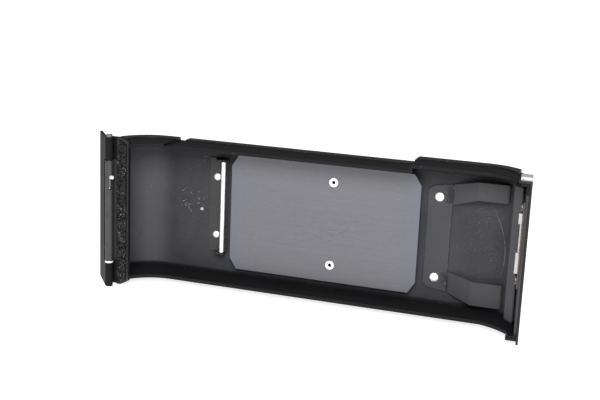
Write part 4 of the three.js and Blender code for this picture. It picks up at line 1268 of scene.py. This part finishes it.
@dataclass
class Outside:
    """What the hand touches: the embossed leatherette and the holder for a film carton's flap."""

    back_y: float = 21.9
    gap: float = 0.05
    thickness: float = 0.46
    half_height: float = 21.4
    hinge_centre_x: float = 11.3
    hinge_radius: float = 14.8
    latch_centre_x: float = 118.92
    latch_radius: float = 15.5
    wrap: float = 41.5
    mesh: float = 0.52
    pebble: float = 1.15
    emboss: float = 0.07
    holder_round: float = 0.12

    def _path(self) -> list[tuple[float, float]]:
        """The cover's run in plan, from the latch end round to the hinge end."""
        lift = self.gap + self.thickness
        points: list[tuple[float, float]] = []
        latch, hinge = self.latch_radius + lift, self.hinge_radius + lift
        latch_y, hinge_y = self.back_y - self.latch_radius, self.back_y - self.hinge_radius
        steps = round(math.radians(self.wrap) * latch / self.mesh)
        for step in range(steps + 1):
            angle = math.radians(90 - self.wrap * (1 - step / steps))
            x = self.latch_centre_x + latch * math.cos(angle)
            points.append((x, latch_y + latch * math.sin(angle)))
        flat = self.latch_centre_x - self.hinge_centre_x
        steps = round(flat / self.mesh)
        for step in range(1, steps):
            points.append((self.latch_centre_x - flat * step / steps, self.back_y + lift))
        steps = round(math.radians(self.wrap) * hinge / self.mesh)
        for step in range(steps + 1):
            angle = math.radians(90 + self.wrap * step / steps)
            x = self.hinge_centre_x + hinge * math.cos(angle)
            points.append((x, hinge_y + hinge * math.sin(angle)))
        return points

    def cover(self) -> bpy.types.Object:
        """Models the leatherette, with its pebbles raised from the sheet."""
        half = self.half_height
        lines = [Line(at(x, y, -half), at(x, y, half)) for x, y in self._path()]
        piece = Sheet.roll("leatherette_cover", lines, round(2 * half / self.mesh))
        texture = bpy.data.textures.new("pebbles", "VORONOI")
        texture.noise_scale = self.pebble * MM
        texture.distance_metric = "DISTANCE"
        Bench.emboss(piece, texture, self.emboss)
        Bench.thicken(piece, self.thickness - self.emboss)
        Bench.smooth(piece, 60)
        return piece

    def build(self, assembly: Assembly, finishes: Finishes) -> None:
        """Builds the cover and the holder."""
        assembly.fit(self.cover(), Body.DOOR, finishes.leatherette, "leatherette_panel")
        assembly.refine("memo_holder", Body.DOOR, finishes.casing, self.holder_round, 3)


@dataclass
class Hinge:
    """The pinned hinge: the camera's bracket, the door's leaf and barrel, and their pins."""

    round_off: float = 0.07
    pores: float = 0.2
    open_pores: tuple[float, float] = (0.5, 0.3)
    dents: tuple[float, float] = (2.6, 0.16)
    pin_travel: float = 3.5

    def seal(self) -> bpy.types.Object:
        """Models the foam strip on the leaf, with its open pores."""
        piece = Bench.cast("hinge_seal", "hinge_foam_seal")
        Bench.modify(piece, "REMESH", mode="VOXEL", voxel_size=self.pores * MM)
        for name, size, depth in (("pores", *self.open_pores), ("dents", *self.dents)):
            texture = bpy.data.textures.new(name, "CLOUDS")
            texture.noise_scale = size * MM
            texture.noise_depth = 2
            Bench.emboss(piece, texture, depth)
        Bench.smooth(piece, 80)
        return piece

    def pin_spring(self, assembly: Assembly, finishes: Finishes) -> None:
        """Builds the coil that the release pin presses together."""
        piece = Bench.cast("pin_spring", "pin_return_spring")
        Bench.smooth(piece, 60)
        assembly.fit(piece, Body.DOOR, finishes.bright, "pin_spring")
        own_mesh(piece)

    def build(self, assembly: Assembly, finishes: Finishes) -> None:
        """Builds the hinge's pieces."""
        camera, door, pin = Body.CAMERA_SIDE, Body.DOOR, Body.RELEASE_PIN
        for body, finish, nodes in (
            (camera, finishes.camera_side, ("hinge_bracket",)),
            (camera, finishes.camera_side, ("bracket_screw_upper", "bracket_screw_lower")),
            (camera, finishes.dull, ("hinge_cap",)),
            (door, finishes.barrel, ("hinge_leaf", "leaf_rivet_1", "leaf_rivet_2", "leaf_rivet_3")),
            (door, finishes.dull, ("lower_pin",)),
            (door, finishes.turned, ("hinge_washer",)),
            (pin, finishes.dull, ("hinge_pin",)),
            (pin, finishes.turned, ("release_stud",)),
        ):
            for node in nodes:
                assembly.refine(node, body, finish, self.round_off)
        self.pin_spring(assembly, finishes)
        seal = assembly.fit(self.seal(), Body.DOOR, finishes.foam, "hinge_seal")


@dataclass
class Latch:
    """The bright catch inside the end wall, and its two screws."""

    round_off: float = 0.07
    foot_x: float = 133.7
    foot_y: float = -0.5
    lean: float = 5.8
    plate: float = 0.62

    def build(self, assembly: Assembly, finishes: Finishes) -> None:
        """Builds the catch, bright on its lugs and browned on its plate."""
        piece = assembly.refine("latch_catch", Body.DOOR, finishes.catch, self.round_off)
        piece.data.materials.append(finishes.browned.material)
        foot = at(self.foot_x, self.foot_y, 0)
        outward = Vector((math.cos(math.radians(self.lean)), math.sin(math.radians(self.lean)), 0))
        for polygon in piece.data.polygons:
            if (polygon.center - foot).dot(outward) > -self.plate * MM:
                polygon.material_index = 1
        for node in ("latch_screw_upper", "latch_screw_lower"):
            assembly.refine(node, Body.DOOR, finishes.dull, self.round_off)


@dataclass
class FilmRoller:
    """The steel roller that steadies the film, in its folded bracket."""

    x: float = 32.85
    y: float = 17.7
    z: float = 1.7
    half_length: float = 15.5
    radius: float = 0.95
    neck: float = 0.45
    neck_length: float = 0.6
    sides: int = 64
    bracket_round: float = 0.09
    rivet_x: float = 29.9
    rivet_spread: float = 9.95
    rivet_z: float = 1.5
    rivet_seat_y: float = 19.9
    rivet: Rivet = Rivet(1.2, 0.6)

    def roller(self) -> bpy.types.Object:
        """Models the roller with its turned necks and chamfered shoulders."""
        Bench.clear()
        bpy.ops.mesh.primitive_cylinder_add(
            vertices=self.sides,
            radius=self.radius * MM,
            depth=2 * self.half_length * MM,
            location=at(self.x, self.y, self.z),
        )
        piece = Bench.name("film_roller_turned")
        top = at(self.x, self.y, self.z + self.half_length).z
        bottom = at(self.x, self.y, self.z - self.half_length).z
        for end, way in ((top, 1), (bottom, -1)):
            Bench.pick(piece, "FACE", lambda middle, end=end: abs(middle.z - end) < 0.1 * MM)
            bpy.ops.mesh.inset(thickness=(self.radius - self.neck) * MM, depth=0)
            Bench.pull((0, 0, way * self.neck_length * MM))
            Bench.close()
        Bench.chamfer(piece, 0.12, 3, 50)
        Bench.smooth(piece)
        return piece

    def build(self, assembly: Assembly, finishes: Finishes) -> None:
        """Builds the roller, its bracket and the bracket's rivets."""
        assembly.refine("roller_bracket", Body.DOOR, finishes.bracket, self.bracket_round)
        assembly.fit(self.roller(), Body.ROLLER, finishes.bright, "film_roller")
        names = ("roller_rivet_{}_domed", "roller_rivet_{}")
        centre = (self.rivet_x, self.rivet_seat_y, self.rivet_z)
        assembly.pair(self.rivet, names, centre, self.rivet_spread, Body.DOOR, finishes.turned)


@dataclass
class PressurePlate:
    """The grey plate that holds the film flat, its two hollow studs, and the spring behind it."""

    stud_x: float = 71.0
    front_y: float = 17.34
    back_y: float = 18.34
    centre_z: float = 0.6
    stud_spread: float = 13.8
    floor_y: float = 20.35
    spring_half_width: float = 4.0
    spring_flat: float = 6.0
    spring_reach: float = 12.3
    spring_wall: float = 0.25
    spring_gap: float = 0.05
    travel: float = 1.3
    tip: float = 0.9
    tip_lift: float = 0.18
    steps: int = 8
    plate_round: float = 0.14
    rivet_spread: float = 4.0
    eyelet: Eyelet = Eyelet()
    rivet: Rivet = Rivet(1.1, 0.3, sides=32, steps=4)

    def spring(self) -> bpy.types.Object:
        """Models the bowed leaf spring, from its lower tip on the plate to its upper one."""
        high = self.floor_y - self.spring_wall
        low = self.back_y + self.spring_gap
        reach, flat = self.spring_reach, self.spring_flat
        profile = [(-reach, low + self.tip_lift), (self.tip - reach, low)]
        for step in range(1, self.steps):
            share = step / self.steps
            height = low + (high - low) * (3 * share**2 - 2 * share**3)
            profile.append((self.tip - reach + (reach - self.tip - flat) * share, height))
        profile.append((-flat, high))
        run = profile + [(-z, y) for z, y in reversed(profile)]
        half = self.spring_half_width
        left, right = self.stud_x - half, self.stud_x + half
        lines = [Line(at(right, y, self.centre_z + z), at(left, y, self.centre_z + z)) for z, y in run]
        piece = Sheet.roll("plate_leaf_spring", lines, 4)
        Bench.thicken(piece, self.spring_wall)
        Bench.soften(piece, 0.05)
        return piece

    def build(self, assembly: Assembly, finishes: Finishes) -> None:
        """Builds the plate, its studs, its spring and the spring's rivets."""
        assembly.refine("pressure_plate", Body.PLATE, finishes.plate, self.plate_round, 3)
        names = ("plate_stud_{}_eyelet", "plate_stud_{}")
        centre = (self.stud_x, self.front_y, self.centre_z)
        for stud in assembly.pair(
            self.eyelet, names, centre, self.stud_spread, Body.PLATE, finishes.turned
        ):
            # painted shade: each stud's bore is painted near black
            self.eyelet.darken_bore(stud, finishes.camera_side.material)
        spring = assembly.fit(self.spring(), Body.DOOR, finishes.spring, "plate_spring")
        tuple(at(self.stud_x, self.floor_y, self.centre_z))
        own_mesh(spring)
        seat = self.floor_y - self.spring_wall - self.spring_gap
        names = ("spring_rivet_{}_domed", "plate_spring_rivet_{}")
        centre = (self.stud_x, seat, self.centre_z)
        assembly.pair(self.rivet, names, centre, self.rivet_spread, Body.DOOR, finishes.turned)


@dataclass
class CassetteSpring:
    """The blackened sheet spring whose two fingers steady the film cassette."""

    front_y: float = 19.95
    sheet: float = 0.4
    web_x: float = 101.5
    bend_x: float = 109.2
    crest_x: float = 117.6
    tip_x: float = 127.1
    rise: float = 3.5
    half_height: float = 16.6
    root_spread: float = 0.9
    tip_half: float = 19.7
    root_inner: float = 10.8
    corner: float = 1.5
    curl: float = 0.35
    flex: float = 3.0
    rivet_x: float = 105.1
    rivet_spread: float = 13.15
    rivet_gap: float = 0.05
    middle_x: float = 105.0
    across: int = 12
    steps: int = 12
    widths: tuple[float, float] = (5.7, 7.6)
    flat_x: tuple[float, ...] = (120.0, 124.0, 126.2)
    curl_start: tuple[float, float] = (126.8, 0.15)
    rivet: Rivet = Rivet(1.45, 0.7)

    def _web_half(self, x: float) -> float:
        """Half the web's height at x."""
        from_corner = self.web_x + self.corner
        if x < from_corner:
            return self.half_height - (from_corner - x)
        share = (x - from_corner) / (self.bend_x - from_corner)
        return self.half_height + self.root_spread * share

    def _finger_lines(self, side: int, width: float) -> list[Line]:
        """The lines across one finger, from its root over its crest to its curled tip.

        Args:
            side: 1 for the upper finger, -1 for the lower.
            width: Its width at the tip, in millimetres.

        Returns:
            The lines, each pointing upwards.
        """
        root = self.half_height + self.root_spread
        outline = [(self.bend_x, 0.0, self.root_inner, root)]
        for step in range(1, self.steps + 1):
            share = step / self.steps
            x = self.bend_x + (self.crest_x - self.bend_x) * share
            inner = self.root_inner + (self.tip_half - width - self.root_inner) * share
            outline.append((x, self.rise * share, inner, root + (self.tip_half - root) * share))
        flat = [(x, 0.0) for x in self.flat_x]
        for x, drop in (*flat, self.curl_start, (self.tip_x, self.curl)):
            outline.append((x, self.rise - drop, self.tip_half - width, self.tip_half))
        lines = []
        for x, lift, inner, outer in outline:
            low, high = sorted((side * inner, side * outer))
            lines.append(Line(at(x, self.front_y - lift, low), at(x, self.front_y - lift, high)))
        return lines

    def blank(self) -> bpy.types.Object:
        """Models the whole spring as it leaves the press, with both fingers drawn out of its web."""
        stations = [self.web_x, self.web_x + self.corner, self.middle_x, self.bend_x]
        lines = [
            Line(at(x, self.front_y, -self._web_half(x)), at(x, self.front_y, self._web_half(x)))
            for x in stations
        ]
        piece = Sheet.roll("cassette_spring_blank", lines, self.across)
        for side in (1, -1):
            Bench.slice(piece, at(0, 0, side * self.root_inner), (0, 0, 1))
        bend = at(self.bend_x, 0, 0).x
        for side, width in zip((1, -1), self.widths):
            inner = self.root_inner * MM - DOUBLE
            Bench.pick(
                piece,
                "VERT",
                lambda place, side=side: place.x > bend - DOUBLE and side * place.z > inner,
            )
            Sheet.draw_on(self._finger_lines(side, width))
        Bench.thicken(piece, self.sheet)
        Bench.soften(piece, 0.06)
        Bench.smooth(piece, 24)
        return piece

    def build(self, assembly: Assembly, finishes: Finishes) -> None:
        """Builds the web, the fingers and the rivets."""
        blank = self.blank()
        bend = at(self.bend_x, 0, 0)
        upper = Bench.copy(blank, "cassette_finger_upper_sheet", Vector((0, 0, 0)))
        Bench.slice(upper, bend, (1, 0, 0), drop_behind=True)
        lower = Bench.copy(upper, "cassette_finger_lower_sheet", Vector((0, 0, 0)))
        Bench.slice(upper, Vector((0, 0, 0)), (0, 0, 1), drop_behind=True)
        Bench.slice(lower, Vector((0, 0, 0)), (0, 0, -1), drop_behind=True)
        Bench.slice(blank, bend, (-1, 0, 0), drop_behind=True)
        blank.name = blank.data.name = "cassette_spring_web_sheet"
        assembly.fit(blank, Body.DOOR, finishes.spring, "cassette_spring_web")
        fingers = ((upper, "upper", Body.UPPER_FINGER), (lower, "lower", Body.LOWER_FINGER))
        for piece, label, body in fingers:
            piece.data.materials.clear()
            piece.data.materials.append(finishes.spring.material)
            end = at(self.bend_x + self.flex, 0, 0)
            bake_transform(piece)
            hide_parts(f"cassette_finger_{label}")
            assembly.count += 1
            log.info("%s bends from %s to %s", piece.name, Body.DOOR.value, body.value)
        names = ("cassette_rivet_{}_domed", "cassette_rivet_{}")
        centre = (self.rivet_x, self.front_y - self.rivet_gap, 0.0)
        assembly.pair(self.rivet, names, centre, self.rivet_spread, Body.DOOR, finishes.turned)


# ---- The studio ---------------------------------------------------------------------------------


@dataclass
class Studio:
    """The pale floor, the soft light and the camera."""

    camera_place: tuple[float, float, float] = (0.17085, -0.31102, 0.08721)
    camera_right: tuple[float, float, float] = (0.9469, 0.3188, 0.0424)
    camera_up: tuple[float, float, float] = (-0.1122, 0.2039, 0.9725)
    lens: float = 64.42
    aim: tuple[float, float, float] = (0.075, 0.0, 0.0)
    floor_gap: float = 0.0003
    sky: float = 0.22
    walls: float = 1.4
    floor_size: float = 12.0
    key_place: tuple[float, float, float] = (0.24, -0.60, 0.42)
    key_size: float = 0.36
    key_power: float = 7.2

    def camera(self) -> None:
        """Sets the camera up."""
        data = bpy.data.cameras.new("camera")
        data.lens = self.lens
        data.sensor_width = 36.0
        data.clip_start = 0.01
        data.clip_end = 20.0
        camera = Bench.add("camera", data)
        right = Vector(self.camera_right).normalized()
        up = Vector(self.camera_up)
        up = (up - right * up.dot(right)).normalized()
        turn = Matrix((right, up, right.cross(up))).transposed()
        camera.matrix_world = Matrix.Translation(self.camera_place) @ turn.to_4x4()
        bpy.context.scene.camera = camera

    def light(self, name: str, place: Sequence[float], size: float, power: float) -> None:
        """Hangs one square soft light, aimed at the middle of the door.

        Args:
            name: The light's name.
            place: Where it hangs, in metres.
            size: The length of its side.
            power: Its power in watts.
        """
        data = bpy.data.lights.new(name, "AREA")
        data.size = size
        data.energy = power
        lamp = Bench.add(name, data)
        lamp.location = place
        lamp.rotation_euler = (Vector(self.aim) - Vector(place)).to_track_quat("-Z", "Y").to_euler()

    def world(self) -> None:
        """Lights the room softly, with white walls behind the object."""
        world = bpy.data.worlds.new("studio")
        world.use_nodes = True
        tree = world.node_tree
        room = tree.nodes["Background"]
        room.inputs["Color"].default_value = (1, 1, 1, 1)
        room.inputs["Strength"].default_value = self.sky
        walls = tree.nodes.new("ShaderNodeBackground")
        walls.inputs["Strength"].default_value = self.walls
        seen = tree.nodes.new("ShaderNodeLightPath")
        mix = tree.nodes.new("ShaderNodeMixShader")
        tree.links.new(seen.outputs["Is Camera Ray"], mix.inputs[0])
        tree.links.new(room.outputs[0], mix.inputs[1])
        tree.links.new(walls.outputs[0], mix.inputs[2])
        tree.links.new(mix.outputs[0], tree.nodes["World Output"].inputs["Surface"])
        bpy.context.scene.world = world

    def build(self) -> None:
        """Builds the studio."""
        Bench.clear()
        low, high = CAD_BOX
        middle = (low + high) / 2
        place = (middle.x, middle.y, low.z - self.floor_gap)
        bpy.ops.mesh.primitive_plane_add(size=self.floor_size, location=place)
        floor = Bench.name("floor")
        floor.data.materials.append(Backdrop().make())
        self.camera()
        self.light("key", self.key_place, self.key_size, self.key_power)
        self.world()
        bpy.context.scene.view_settings.view_transform = "Standard"


def main() -> None:
    """Builds the studio and every sub-assembly in order."""
    logging.basicConfig(level=logging.INFO, format="%(message)s")
    Studio().build()
    assembly = Assembly()
    finishes = Finishes()
    parts = (Tray(), Outside(), Hinge(), Latch(), FilmRoller(), PressurePlate(), CassetteSpring())
    for part in parts:
        part.build(assembly, finishes)
        log.info("%s is done", type(part).__name__)
    Bench.clear()
    log.info("%d new pieces", assembly.count)


if __name__ == "__main__":
    main()
